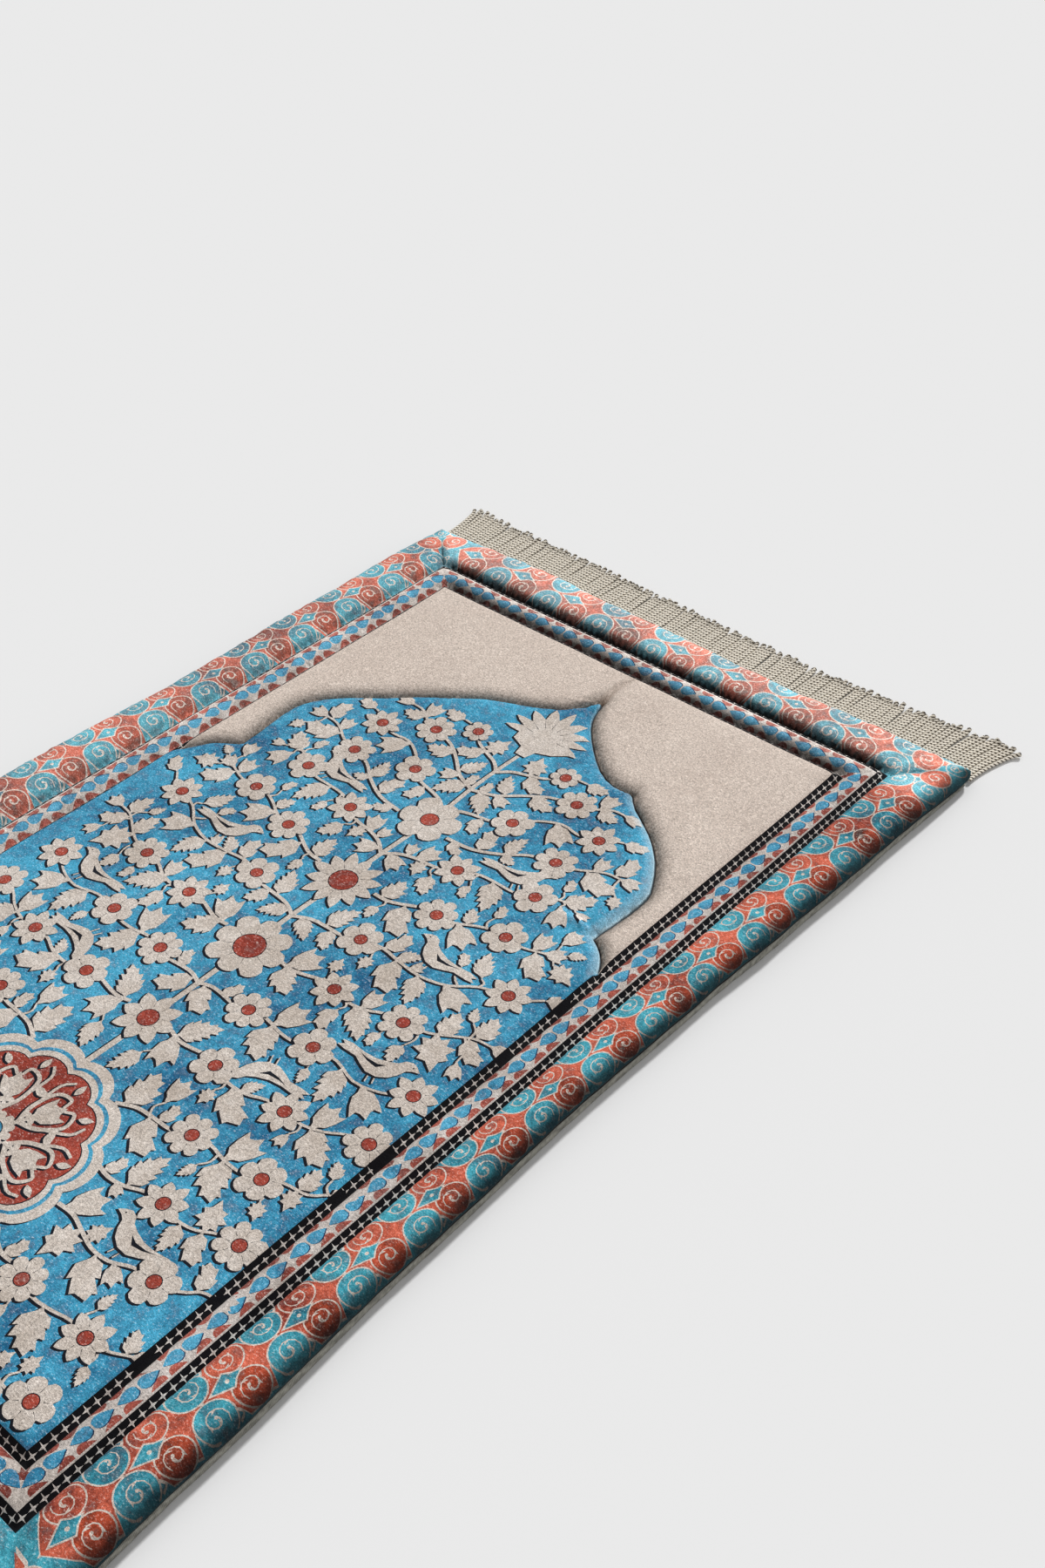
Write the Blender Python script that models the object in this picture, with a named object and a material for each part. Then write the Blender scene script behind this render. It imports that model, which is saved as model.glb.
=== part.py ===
"""Padded prayer rug: a quilted pile mat, its turned-up backing cloth and a corded fringe at each end.

Metres, +Z up. The origin is on the floor under the middle of the rug, +X runs across it and +Y runs to the
head, the end that the arch points to.
"""
import math

import bmesh
import bpy
from mathutils import Vector, geometry

MM = 0.001

# The mat, seen from above. Its borders are measured from the edge to a seam and from seam to seam.
MAT_WIDTH = 700 * MM
MAT_LENGTH = 1120 * MM
OUTER_BORDER = 60 * MM
INNER_BORDER = 30.4 * MM
CORNER_CUT = 3.5 * MM            # how far a corner of the edge is drawn in along each side

# How far the sewing draws the edge in: (along the edge, inwards) in mm. The sides run from the head to the
# foot. The head's edge runs from left to right, and the foot's is the same, half a turn round.
RIGHT_DRAWN = ((0, 0), (170, 5), (300, 9), (400, 14), (560, 17), (750, 14), (950, 6), (1120, 0))
LEFT_DRAWN = ((0, 0), (200, 6), (400, 8.5), (500, 5), (615, 1.5), (800, 4), (950, 5), (1120, 0))
END_DRAWN = ((0, 0), (60, -2.5), (150, -1), (260, 5), (435, 9), (500, 10), (560, 7), (630, 4.5), (700, 0))

# The mat's heights above the floor.
EDGE_SEAM = 9.5 * MM             # the seam between face and backing, in the middle of a side
EDGE_SEAM_CORNER = 5.5 * MM      # the same seam at a corner
EDGE_TURN = 5.0 * MM             # how far above that seam the outer roll bulges out furthest
SEAM_INSET = 3.5 * MM            # how far that seam lies in under the bulge
ROLL_CROWN = 25.0 * MM
CREASE = 11.5 * MM
INNER_CROWN = 18.5 * MM
FIELD_TOP = 21.5 * MM
ARCH_SEAM = 13.5 * MM
CREASE_REACH = 9.0 * MM          # how far from a seam the field takes to fill out

# Backing cloth and the gap between touching pieces.
CLOTH = 1.5 * MM
GAP = 0.3 * MM
BACKING_INSET = 4.2 * MM         # the turn of the backing at the floor, in from the edge
BACKING_BELLY = 2.7 * MM         # its side, a little way up
RIM_INSET = 3.6 * MM             # its rim
RIM_DROP = 0.8 * MM              # its rim below the edge seam, on the long sides
RIM_DROP_END = 3.8 * MM          # the same at the ends, where the fringe's heading comes between
MAT_WALL = 5.9 * MM              # the mat's side behind the backing, in from the edge

# The arch from its tip to each side of the field, in mm: (out from the tip, down from the head edge). On
# each side the first row is the concave ogee, then come the long lobe and the small one.
TIP_X = 13.0 * MM                # the print and its arch sit a little to the right of the mat's middle
ARCH_RIGHT = (
    ((0, 146), (6, 167), (18, 187), (40, 210), (67, 232), (93, 243), (114, 242)),
    ((114, 242), (128, 255), (161, 276), (188, 301), (206, 328), (213, 345), (213, 374), (210, 414)),
    ((210, 414), (222, 421), (232, 431), (240, 444), (246, 456)))
ARCH_LEFT = (
    ((0, 146), (9, 166), (27, 186), (59, 203), (92, 218), (119, 238)),
    ((119, 238), (148, 260), (173, 284), (197, 304), (216, 324), (228, 345), (231, 370), (225, 428)),
    ((225, 428), (239, 437), (250, 447), (259, 463), (272, 478)))

# Fringe: cords of the real rug are about 3 mm apart; these strands stand for them at a wider pitch.
STRANDS = 147
STRAND_PITCH = 4.66 * MM
STRAND_WIDTH = 3.3 * MM
STRAND_HEIGHT = 2.6 * MM
STRAND_LENGTH = 72 * MM
LENGTH_UNEVEN = 3.0 * MM
HEADING_DEPTH = 3.0 * MM         # the heading tape, across
HEADING_INSET = 1.3 * MM         # its front, in from the edge
HEADING_DROP = 0.8 * MM          # its top below the seam
FLOOR_REACH = 24 * MM            # how far out a strand meets the floor
SPLAY = 21 * MM                  # how far the outermost tips swing outwards
SPLAY_REACH = 45 * MM            # how far in from the corner the swing dies away


# ---------------------------------------------------------------- the mat's shape as functions of place

def insets(x, y):
    """How far a place lies in from the nearest side and from the nearest end."""
    return MAT_WIDTH / 2 - abs(x), MAT_LENGTH / 2 - abs(y)


def corner_nearness(x, y, reach):
    """1 on the diagonal into a corner, falling to 0 along both sides of it."""
    across, along = insets(x, y)
    return math.exp(-(((across - along) / reach) ** 2))


def seam_height(x, y):
    """Height of the seam between face and backing: low at the corners and a little wavy, alike at both ends."""
    wave = 0.5 * MM * math.cos(19 * x + 23 * y) + 0.3 * MM * math.cos(47 * y - 31 * x)
    drop = (EDGE_SEAM - EDGE_SEAM_CORNER) * corner_nearness(x, y, 75 * MM)
    return EDGE_SEAM - drop + wave * (1 - corner_nearness(x, y, 75 * MM))


def eased(table, along):
    """Value of a table of (along, value) pairs in mm at one place, with soft steps between its rows."""
    for (start, value), (end, following) in zip(table, table[1:]):
        if along <= end * MM or end == table[-1][0]:
            part = max(0.0, min(1.0, (along / MM - start) / (end - start)))
            return MM * (value + (following - value) * part * part * (3 - 2 * part))


def drawn_in(x, y):
    """Moves a place as the sewing draws the edge in; the pull dies away over the outer border."""
    across, along = insets(x, y)
    side = eased(RIGHT_DRAWN if x > 0 else LEFT_DRAWN, MAT_LENGTH / 2 - y)
    end = eased(END_DRAWN, MAT_WIDTH / 2 + math.copysign(x, x * y))
    side *= max(0.0, 1 - across / OUTER_BORDER)
    end *= max(0.0, 1 - along / OUTER_BORDER)
    return x - math.copysign(side, x), y - math.copysign(end, y)


def pillow(part):
    """Crown of a filled channel from seam (0) to seam (1): steep at the seams and broad on top."""
    side = abs(2 * part - 1)
    return max(0.0, 1 - side ** 2.3) ** 0.62


def lumps(x, y):
    """Slow unevenness of the filling."""
    return 0.45 * MM * (math.sin(31 * x + 7 * y) * math.sin(27 * y - 5 * x) + 0.5 * math.sin(61 * x - 43 * y))


def arch_half(stretches, side):
    """Points along one half of the arch's seam, tip first, on curves through the named points."""
    chain = []
    for stretch in stretches:
        knots = [Vector((TIP_X + side * out * MM, MAT_LENGTH / 2 - down * MM)) for out, down in stretch]
        for index in range(len(knots) - 1):
            start, end = knots[index], knots[index + 1]
            before = knots[index - 1] if index else start * 2 - end
            after = knots[index + 2] if index + 2 < len(knots) else end * 2 - start
            for part in (0.0, 0.5):
                chain.append(through(before, start, end, after, part))
    return chain + [knots[-1]]


def through(before, start, end, after, part):
    """A point between start and end, on the curve through four points."""
    return 0.5 * (2 * start + (end - before) * part
                  + (2 * before - 5 * start + 4 * end - after) * part ** 2
                  + (3 * start - before - 3 * end + after) * part ** 3)


def arch_seams():
    """The arch's seam from side to side, and the short seam from its tip to the head border."""
    right = arch_half(ARCH_RIGHT, 1)
    left = arch_half(ARCH_LEFT, -1)[1:]
    head_y = MAT_LENGTH / 2 - OUTER_BORDER - INNER_BORDER
    tip = right[0]
    stem = [tip + (Vector((tip.x, head_y)) - tip) * (step / 3) for step in range(4)]
    return list(reversed(left)) + right, stem


ARCH, STEM = arch_seams()


def distance_to(chain, x, y):
    """Shortest distance from a place to a chain of points."""
    place = Vector((x, y))
    best = 1.0
    for start, end in zip(chain, chain[1:]):
        along = end - start
        part = max(0.0, min(1.0, (place - start).dot(along) / along.length_squared))
        best = min(best, (start + along * part - place).length)
    return best


def face_height(x, y):
    """Height of the quilted face above the floor."""
    across, along = insets(x, y)
    inset = min(across, along)
    if inset < OUTER_BORDER:
        part = inset / OUTER_BORDER
        turn = seam_height(x, y) + EDGE_TURN
        base = turn * (1 - part) + CREASE * part
        bulge = (ROLL_CROWN - (EDGE_SEAM + EDGE_TURN + CREASE) / 2) * pillow(part)
        corner = 1 - 0.3 * corner_nearness(x, y, 30 * MM)
        mitre = 5.0 * MM * math.exp(-abs(across - along) / (7 * MM)) * min(1.0, max(0.0, part * 1.25 - 0.2))
        return base + bulge * corner + lumps(x, y) * pillow(part) - mitre * pillow(part)
    if inset < OUTER_BORDER + INNER_BORDER:
        part = (inset - OUTER_BORDER) / INNER_BORDER
        mitre = 0.35 * math.exp(-abs(across - along) / (6 * MM))
        return CREASE + (INNER_CROWN - CREASE) * pillow(part) * (1 - mitre) + lumps(x, y) * pillow(part)
    full = FIELD_TOP + lumps(x, y)
    from_crease = inset - OUTER_BORDER - INNER_BORDER
    sink = (full - CREASE) * math.exp(-from_crease / CREASE_REACH)
    from_seam = min(distance_to(ARCH, x, y), distance_to(STEM, x, y))
    sink_arch = (full - ARCH_SEAM) * math.exp(-from_seam / CREASE_REACH)
    return full - max(sink, sink_arch, (sink ** 3 + sink_arch ** 3) ** (1 / 3) * 0.96)


# ---------------------------------------------------------------- rings round the mat

ROUND_WIDTH = 20                 # spaces of a ring along an end
ROUND_LENGTH = 30                # spaces of a ring along a side
RING_INSETS = (0, 2.5, 8, 17, 28, 40, 50, 56, 60, 63.5, 68.5, 75.2, 82, 87, 90.4, 94, 100)


def spread(count):
    """Fractions from 0 towards 1 along a side, closer together near its corners."""
    return [(1 - math.cos(math.pi * step / count)) / 2 for step in range(count)]


def ring(inset):
    """Places round the mat at one inset, from the foot's left corner and anticlockwise."""
    half_x = MAT_WIDTH / 2 - inset
    half_y = MAT_LENGTH / 2 - inset
    cut = CORNER_CUT * max(0.0, 1 - inset / (25 * MM))
    places = []
    for fraction in spread(ROUND_WIDTH):
        places.append((-half_x + 2 * half_x * fraction, -half_y))
    for fraction in spread(ROUND_LENGTH):
        places.append((half_x, -half_y + 2 * half_y * fraction))
    for fraction in spread(ROUND_WIDTH):
        places.append((half_x - 2 * half_x * fraction, half_y))
    for fraction in spread(ROUND_LENGTH):
        places.append((-half_x, half_y - 2 * half_y * fraction))
    return [drawn_to_corner(x, y, cut) for x, y in places]


def drawn_to_corner(x, y, cut):
    """Rounds a corner by drawing the places next to it inwards."""
    across, along = insets(x, y)
    nearness = math.exp(-abs(across - along) / (5 * MM)) * cut
    return x - math.copysign(nearness, x), y - math.copysign(nearness, y)


def bridge(first_loop, second_loop):
    """Faces between two closed loops of the same length."""
    count = len(first_loop)
    return [(first_loop[i], first_loop[(i + 1) % count], second_loop[(i + 1) % count], second_loop[i])
            for i in range(count)]


# ---------------------------------------------------------------- building

def new_object(name, points, faces, colour, roughness):
    """One named object with its own material."""
    mesh = bpy.data.meshes.new(name)
    mesh.from_pydata([tuple(point) for point in points], [], faces)
    shape = bmesh.new()
    shape.from_mesh(mesh)
    bmesh.ops.recalc_face_normals(shape, faces=shape.faces)
    bmesh.ops.triangulate(shape, faces=shape.faces)
    shape.to_mesh(mesh)
    shape.free()
    mesh.shade_smooth()
    mesh.set_sharp_from_angle(angle=math.radians(60))
    material = bpy.data.materials.new(name)
    material.use_nodes = True
    shader = material.node_tree.nodes["Principled BSDF"]
    shader.inputs["Base Color"].default_value = (*colour, 1)
    shader.inputs["Roughness"].default_value = roughness
    shader.inputs["Metallic"].default_value = 0
    mesh.materials.append(material)
    made = bpy.data.objects.new(name, mesh)
    bpy.context.scene.collection.objects.link(made)
    return made


def seam_points(chain, boundary_inset):
    """The points of a seam that lie inside the last ring, ending a little short of it."""
    half_x = MAT_WIDTH / 2 - boundary_inset - 3 * MM
    half_y = MAT_LENGTH / 2 - boundary_inset - 3 * MM

    def inside(point):
        return abs(point.x) < half_x and abs(point.y) < half_y

    kept = []
    for start, end in zip(chain, chain[1:]):
        if inside(start):
            kept.append(start)
        if inside(start) != inside(end):
            low, high = (start, end) if inside(start) else (end, start)
            for _ in range(40):
                middle = (low + high) / 2
                low, high = (middle, high) if inside(middle) else (low, middle)
            kept.append(high)
    if inside(chain[-1]):
        kept.append(chain[-1])
    return kept


def field_mesh(boundary, boundary_inset):
    """Triangles inside the last ring, with edges along the arch's seam and the stem's."""
    points = [Vector(place) for place in boundary]
    edges = [(i, (i + 1) % len(points)) for i in range(len(points))]
    arch = seam_points(ARCH, boundary_inset)
    stem = seam_points(STEM, boundary_inset)
    for chain in (arch, stem):
        first = len(points)
        points.extend(chain)
        edges.extend((first + i, first + i + 1) for i in range(len(chain) - 1))
    lines = list(points)
    for chain in (arch, stem):
        for start, end in zip(chain, chain[1:]):
            side = (end - start).normalized().orthogonal()
            for offset in (-16, -5, 5, 16):
                place = (start + end) / 2 + side * offset * MM
                clear = min((place - point).length for point in lines)
                if distance_to(arch, *place) > 4.5 * MM and clear > 3 * MM and in_field(place, boundary_inset):
                    points.append(place)
    step = 38 * MM
    columns = int(MAT_WIDTH / step)
    rows = int(MAT_LENGTH / step)
    for column in range(-columns // 2, columns // 2 + 1):
        for row in range(-rows // 2, rows // 2 + 1):
            place = Vector(((column + 0.5 * (row % 2)) * step, row * step))
            clear = min((place - point).length for point in points)
            if clear > 14 * MM and in_field(place, boundary_inset + 8 * MM):
                points.append(place)
    outline = [list(range(len(boundary)))]
    return geometry.delaunay_2d_cdt(points, edges, outline, 1, 1e-6)


def in_field(place, inset):
    """Whether a place lies inside the rectangle at an inset."""
    return abs(place.x) < MAT_WIDTH / 2 - inset and abs(place.y) < MAT_LENGTH / 2 - inset


def make_mat():
    """The quilted face over its filling, as one closed solid with a flat underside."""
    points = []
    faces = []
    loops = []
    for inset in RING_INSETS:
        loop = ring(inset * MM)
        loops.append(list(range(len(points), len(points) + len(loop))))
        points.extend((*drawn_in(x, y), face_height(x, y)) for x, y in loop)
    for outer, inner in zip(loops, loops[1:]):
        faces.extend(bridge(outer, inner))

    field_points, _, triangles, origins, _, _ = field_mesh(ring(RING_INSETS[-1] * MM), RING_INSETS[-1] * MM)
    index_of = {}
    for index, (place, sources) in enumerate(zip(field_points, origins)):
        on_ring = [source for source in sources if source < len(loops[-1])]
        if on_ring:
            index_of[index] = loops[-1][on_ring[0]]
        else:
            index_of[index] = len(points)
            points.append((place.x, place.y, face_height(place.x, place.y)))
    faces.extend(tuple(index_of[corner] for corner in triangle) for triangle in triangles)

    # Under the bulge the mat is drawn in to its seam, then behind the backing's rim to a flat underside.
    bottom = CLOTH + GAP
    for inset, height_at in ((0.3 * SEAM_INSET, lambda seam: seam + 0.45 * EDGE_TURN),
                             (SEAM_INSET, lambda seam: seam),
                             (MAT_WALL, lambda seam: seam - 0.1 * MM),
                             (MAT_WALL + 0.5 * MM, lambda seam: bottom)):
        loop = ring(inset)
        loops.insert(0, list(range(len(points), len(points) + len(loop))))
        for (x, y), edge in zip(loop, ring(0)):
            points.append((*drawn_in(x, y), height_at(seam_height(*edge))))
        faces.extend(bridge(loops[0], loops[1]))
    faces.append(tuple(reversed(loops[0])))
    return new_object("mat", points, faces, (0.20, 0.42, 0.60), 0.9)


def make_backing():
    """The backing cloth: flat under the mat and turned up to the seam all round."""
    points = []
    loops = []

    def add_ring(inset, height_at):
        loops.append(list(range(len(points), len(points) + 2 * (ROUND_WIDTH + ROUND_LENGTH))))
        for (x, y), edge in zip(ring(inset), ring(0)):
            points.append((*drawn_in(x, y), height_at(*edge)))

    def rim(x, y):
        across, along = insets(x, y)
        drop = RIM_DROP_END if along < across else RIM_DROP
        nearness = corner_nearness(x, y, 24 * MM)
        drop = drop * (1 - nearness) + RIM_DROP_END * nearness
        return max(CLOTH + GAP, seam_height(x, y) - drop)

    add_ring(BACKING_INSET + 0.7 * CLOTH, lambda x, y: CLOTH)
    add_ring(BACKING_BELLY + CLOTH, lambda x, y: CLOTH + 0.3 * (rim(x, y) - CLOTH))
    add_ring(RIM_INSET + CLOTH, rim)
    add_ring(RIM_INSET, rim)
    add_ring(BACKING_BELLY, lambda x, y: 0.35 * rim(x, y))
    add_ring(BACKING_INSET, lambda x, y: 0.0)
    faces = []
    for outer, inner in zip(loops, loops[1:]):
        faces.extend(bridge(inner, outer))
    faces.append(tuple(loops[0]))
    faces.append(tuple(reversed(loops[-1])))
    return new_object("backing", points, faces, (0.21, 0.22, 0.18), 0.95)


def strand_wander(x):
    """How the strands' tips drift sideways, smoothly along the fringe, splaying at both corners."""
    from_left = x + MAT_WIDTH / 2
    from_right = MAT_WIDTH / 2 - x
    splay = SPLAY * (math.exp(-from_right / SPLAY_REACH) - math.exp(-from_left / SPLAY_REACH))
    return splay + 1.6 * MM * math.sin(41 * x + 0.8) + 0.9 * MM * math.sin(113 * x)


def strand_length(index):
    """Uneven lengths that repeat exactly from run to run."""
    return STRAND_LENGTH + LENGTH_UNEVEN * (0.6 * math.sin(2.4 * index) + 0.4 * math.sin(0.37 * index + 1))


def head_edge(x):
    """Where the mat's head edge lies, and how high its seam is, on the straight pieces between its points."""
    places = [place for place in ring(0) if place[1] > MAT_LENGTH / 2 - 1.5 * CORNER_CUT]
    edge = sorted((*drawn_in(*place), seam_height(*place)) for place in places)
    for left, right in zip(edge, edge[1:]):
        if left[0] <= x <= right[0]:
            part = (x - left[0]) / (right[0] - left[0])
            return left[1] + (right[1] - left[1]) * part, left[2] + (right[2] - left[2]) * part
    raise ValueError("a strand stands beside the mat")


def make_fringe():
    """Heading tape in the seam with its strands, which droop to the floor and lie level on it."""
    points = []
    faces = []
    cells = []
    for index in range(STRANDS):
        x = (index - (STRANDS - 1) / 2) * STRAND_PITCH
        edge_y, seam = head_edge(x)
        y = edge_y - HEADING_INSET
        top = seam - HEADING_DROP
        low = seam - RIM_DROP_END + GAP
        out = strand_wander(x)
        length = strand_length(index)
        # how far out, how far drifted (share of the tip's drift), height of the flat underside
        stations = ((0.0, 0.0, low), (0.45 * FLOOR_REACH, 0.08, low * 0.42), (FLOOR_REACH, 0.22, 0.0),
                    (length, 1.0, 0.0))
        first = len(points)
        for reach, drift, bottom in stations:
            narrow = 0.85 if reach == length else 1.0
            thick = (top - low) if reach == 0.0 else STRAND_HEIGHT
            centre = x + out * drift
            half = STRAND_WIDTH * narrow / 2
            points.append((centre - half, y + reach, bottom))
            points.append((centre + half, y + reach, bottom))
            points.append((centre, y + reach, bottom + thick))
        for station in range(len(stations) - 1):
            near = first + 3 * station
            far = near + 3
            faces.append((near, near + 1, far + 1, far))
            faces.append((near + 1, near + 2, far + 2, far + 1))
            faces.append((near + 2, near, far, far + 2))
        tip = first + 3 * (len(stations) - 1)
        faces.append((tip, tip + 1, tip + 2))
        heel = len(points)
        points.append((x, y - HEADING_DEPTH, low))
        points.append((x, y - HEADING_DEPTH, top))
        cells.append((first, first + 1, first + 2, heel, heel + 1))
    for (left, right, apex, heel, heel_top), following in zip(cells, cells[1:]):
        next_left, _, next_apex, next_heel, next_heel_top = following
        faces.append((right, next_left, next_apex, apex))
        faces.append((apex, next_apex, next_heel_top, heel_top))
        faces.append((heel_top, next_heel_top, next_heel, heel))
        faces.append((heel, next_heel, next_left, right))
    for left, right, _, heel, _ in cells[1:-1]:
        faces.append((left, heel, right))
    left, right, apex, heel, heel_top = cells[0]
    faces.append((left, heel, right))
    faces.append((left, apex, heel_top, heel))
    left, right, apex, heel, heel_top = cells[-1]
    faces.append((left, heel, right))
    faces.append((apex, right, heel, heel_top))
    return new_object("fringe_head", points, faces, (0.58, 0.54, 0.43), 0.85)


def main():
    for leftover in list(bpy.data.objects):
        bpy.data.objects.remove(leftover)
    make_mat()
    make_backing()
    head = make_fringe()
    foot = bpy.data.objects.new("fringe_foot", head.data)
    foot.rotation_euler.z = math.pi
    bpy.context.scene.collection.objects.link(foot)


main()
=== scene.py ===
"""Looks of the padded prayer rug: its printed, quilted pile face, its backing cloth and its fringes."""
import math

import bpy
import numpy as np
from mathutils import Matrix, Vector
from mathutils.bvhtree import BVHTree
from mathutils.geometry import delaunay_2d_cdt


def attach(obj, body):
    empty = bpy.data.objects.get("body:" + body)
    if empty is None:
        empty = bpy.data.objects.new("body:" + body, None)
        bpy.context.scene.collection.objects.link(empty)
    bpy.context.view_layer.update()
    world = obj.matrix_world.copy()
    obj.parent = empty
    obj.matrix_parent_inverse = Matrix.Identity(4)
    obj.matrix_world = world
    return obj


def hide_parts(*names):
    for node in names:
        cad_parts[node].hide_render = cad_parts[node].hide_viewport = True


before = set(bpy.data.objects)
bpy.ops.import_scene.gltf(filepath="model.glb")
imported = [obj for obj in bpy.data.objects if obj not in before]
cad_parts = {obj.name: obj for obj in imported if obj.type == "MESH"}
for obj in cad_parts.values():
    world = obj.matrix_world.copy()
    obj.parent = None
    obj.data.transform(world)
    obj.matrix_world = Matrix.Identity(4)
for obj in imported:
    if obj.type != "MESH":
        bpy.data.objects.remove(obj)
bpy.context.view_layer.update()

bl_info = {
    "name": "Padded prayer rug",
    "version": (1, 0, 0),
    "blender": (4, 5, 0),
    "location": "View3D > Sidebar > Rug",
    "description": "Makes a quilted, printed prayer rug with its backing and twisted fringes",
    "category": "Object",
}

MM = 0.001


# ---------------------------------------------------------------- colours and sizes

# Each ink of the print (and one lobe ink with painted shade): what it colours, its usual and deep tones, as
# seen on the rug (0 to 255).
INKS = (
    ("spandrel", "Ground beside the arch", (217, 202, 190), (204, 188, 176)),
    ("ground", "Ground under the arch", (76, 172, 208), (24, 94, 134)),
    ("motif", "Flowers, leaves and birds", (216, 206, 197), (188, 175, 163)),
    ("line", "Dark lines beside the motifs", (26, 30, 40), (14, 16, 24)),
    ("heart", "Hearts of the flowers", (178, 78, 62), (128, 46, 36)),
    ("band", "Star bands", (15, 14, 19), (8, 7, 11)),
    ("star", "Stars on the bands", (222, 215, 208), (176, 168, 162)),
    ("channel", "Ground of the inner border", (208, 199, 193), (178, 168, 160)),
    ("drop", "Drops of the inner border", (88, 172, 206), (36, 112, 148)),
    ("drop_edge", "Dark sides of the drops", (40, 58, 96), (26, 38, 66)),
    ("half_drop", "Half drops of the inner border", (178, 92, 78), (108, 48, 40)),
    ("scroll", "Ground and lobes of the outer border", (78, 176, 194), (14, 84, 106)),
    ("lobe", "Warm lobes of the outer border", (220, 110, 84), (108, 32, 22)),
    # The lobe ink with painted shade, for the half of the roll that turns away from the light.
    ("lobe_shaded", "Warm lobes where the roll turns away", (196, 84, 56), (66, 22, 12)),
    ("outline", "Outlines of the outer border", (218, 206, 196), (190, 172, 160)),
    ("turned", "Edge of the print, turned into the seam", (12, 11, 14), (7, 6, 8)),
)
INK = {row[0]: index for index, row in enumerate(INKS)}


def linear(tone):
    """A colour of 0 to 255 as Blender's linear values."""
    shares = [value / 255 for value in tone]
    return [s / 12.92 if s <= 0.04045 else ((s + 0.055) / 1.055) ** 2.4 for s in shares]


def colour(name, description, tone):
    """A colour that can be set, with its usual tone given as 0 to 255."""
    return bpy.props.FloatVectorProperty(name=name, description=description, subtype="COLOR", size=3,
                                         min=0, max=1, default=linear(tone))


def length(name, description, default):
    """A length that can be set, in metres."""
    return bpy.props.FloatProperty(name=name, description=description, default=default, unit="LENGTH",
                                   precision=5)


class RugColours(bpy.types.PropertyGroup):
    """Colours of the rug's print, backing and fringe"""
    backing: colour("Backing", "Backing cloth", (158, 156, 146))
    cord: colour("Cords", "Fringe cords", (252, 243, 226))
    cord_deep: colour("Cord grooves", "Shade between a cord's plies", (62, 47, 28))


for ink, use, tone, deep in INKS:
    RugColours.__annotations__[ink] = colour(use, use + ", its usual tone", tone)
    RugColours.__annotations__[ink + "_deep"] = colour(use + ", deep", use + ", its deep tone", deep)


class RugSizes(bpy.types.PropertyGroup):
    """Sizes of what repeats on the rug"""
    scroll_pitch: length("Scroll pitch", "One repeat of the outer border", 68.5 * MM)
    drop_pitch: length("Drop pitch", "One pair of drops of the inner border", 38 * MM)
    star_pitch: length("Star pitch", "One star of a star band", 8.8 * MM)
    cord_pitch: length("Cord pitch", "Distance between the fringe's cords", 3.75 * MM)
    cord_width: length("Cord width", "Width of a fringe cord", 3.8 * MM)
    cord_length: length("Cord length", "Length of a fringe cord", 72 * MM)
    twist_pitch: length("Twist", "Length of a cord's full twist", 9.6 * MM)


# ---------------------------------------------------------------- the mat's shape

# The plan, the drawn-in edges and most heights are those of the part's source. The edge's seam, the backing's
# rim, the creases and the arch's seam lie a little lower or higher here, as the photograph shows them.
MAT_WIDTH = 700 * MM
MAT_LENGTH = 1120 * MM
HALF = np.array([MAT_WIDTH, MAT_LENGTH]) / 2
HALF_WIDE, HALF_LONG = MAT_WIDTH / MM / 2, MAT_LENGTH / MM / 2      # in mm, for the flat print
HALF_MM = np.array([HALF_WIDE, HALF_LONG])
OUTER_BORDER = 60 * MM
INNER_BORDER = 30.4 * MM
CORNER_CUT = 3.5 * MM            # how far a corner of the edge is drawn in along each side

# How far the sewing draws the edge in: (along the edge, inwards) in mm, from the head or the left.
RIGHT_DRAWN = ((0, 0), (170, 5), (300, 9), (400, 14), (560, 17), (750, 14), (950, 6), (1120, 0))
LEFT_DRAWN = ((0, 0), (200, 6), (400, 8.5), (500, 5), (615, 1.5), (800, 4), (950, 5), (1120, 0))
END_DRAWN = ((0, 0), (60, -2.5), (150, -1), (260, 5), (435, 9), (500, 10), (560, 7), (630, 4.5), (700, 0))

# Heights above the floor.
EDGE_SEAM = 11.0 * MM            # the seam between face and backing, in the middle of a side
EDGE_SEAM_CORNER = 5.5 * MM      # the same seam at a corner
EDGE_TURN = 5.0 * MM             # how far above that seam the outer roll bulges out furthest
ROLL_CROWN = 25.0 * MM
CREASE = 12.0 * MM
INNER_CROWN = 18.5 * MM
FIELD_TOP = 21.5 * MM
ARCH_SEAM = 12.6 * MM

# Widths under the roll and beside the seams.
SEAM_INSET = 3.5 * MM            # how far the edge's seam lies in under the bulge
TUCK = 2.6 * MM                  # the black edge that shows above the backing on the long sides
MAT_WALL = 5.9 * MM              # the mat's side behind the backing, in from the edge
BAND_SLOPE = 9.0 * MM            # the star bands lie on slopes that face outwards

# The backing cloth and the fringes.
CLOTH = 1.5 * MM
GAP = 0.3 * MM
BACKING_INSET = 4.2 * MM         # the turn of the backing at the floor, in from the edge
BACKING_BELLY = 2.7 * MM         # its side, a little way up
RIM_INSET = 3.6 * MM             # its rim
RIM_DROP = 3.1 * MM              # its rim below the edge seam, on the long sides
RIM_DROP_END = 3.8 * MM          # the same at the ends, where the fringe comes between
HEADING_INSET = 1.3 * MM         # where the cords start, in from the edge
FLOOR_REACH = 24 * MM            # how far out a cord meets the floor
SPLAY = 21 * MM                  # how far the outermost tips could swing outwards
SPLAY_REACH = 45 * MM            # how far in from the corner the swing dies away

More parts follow.
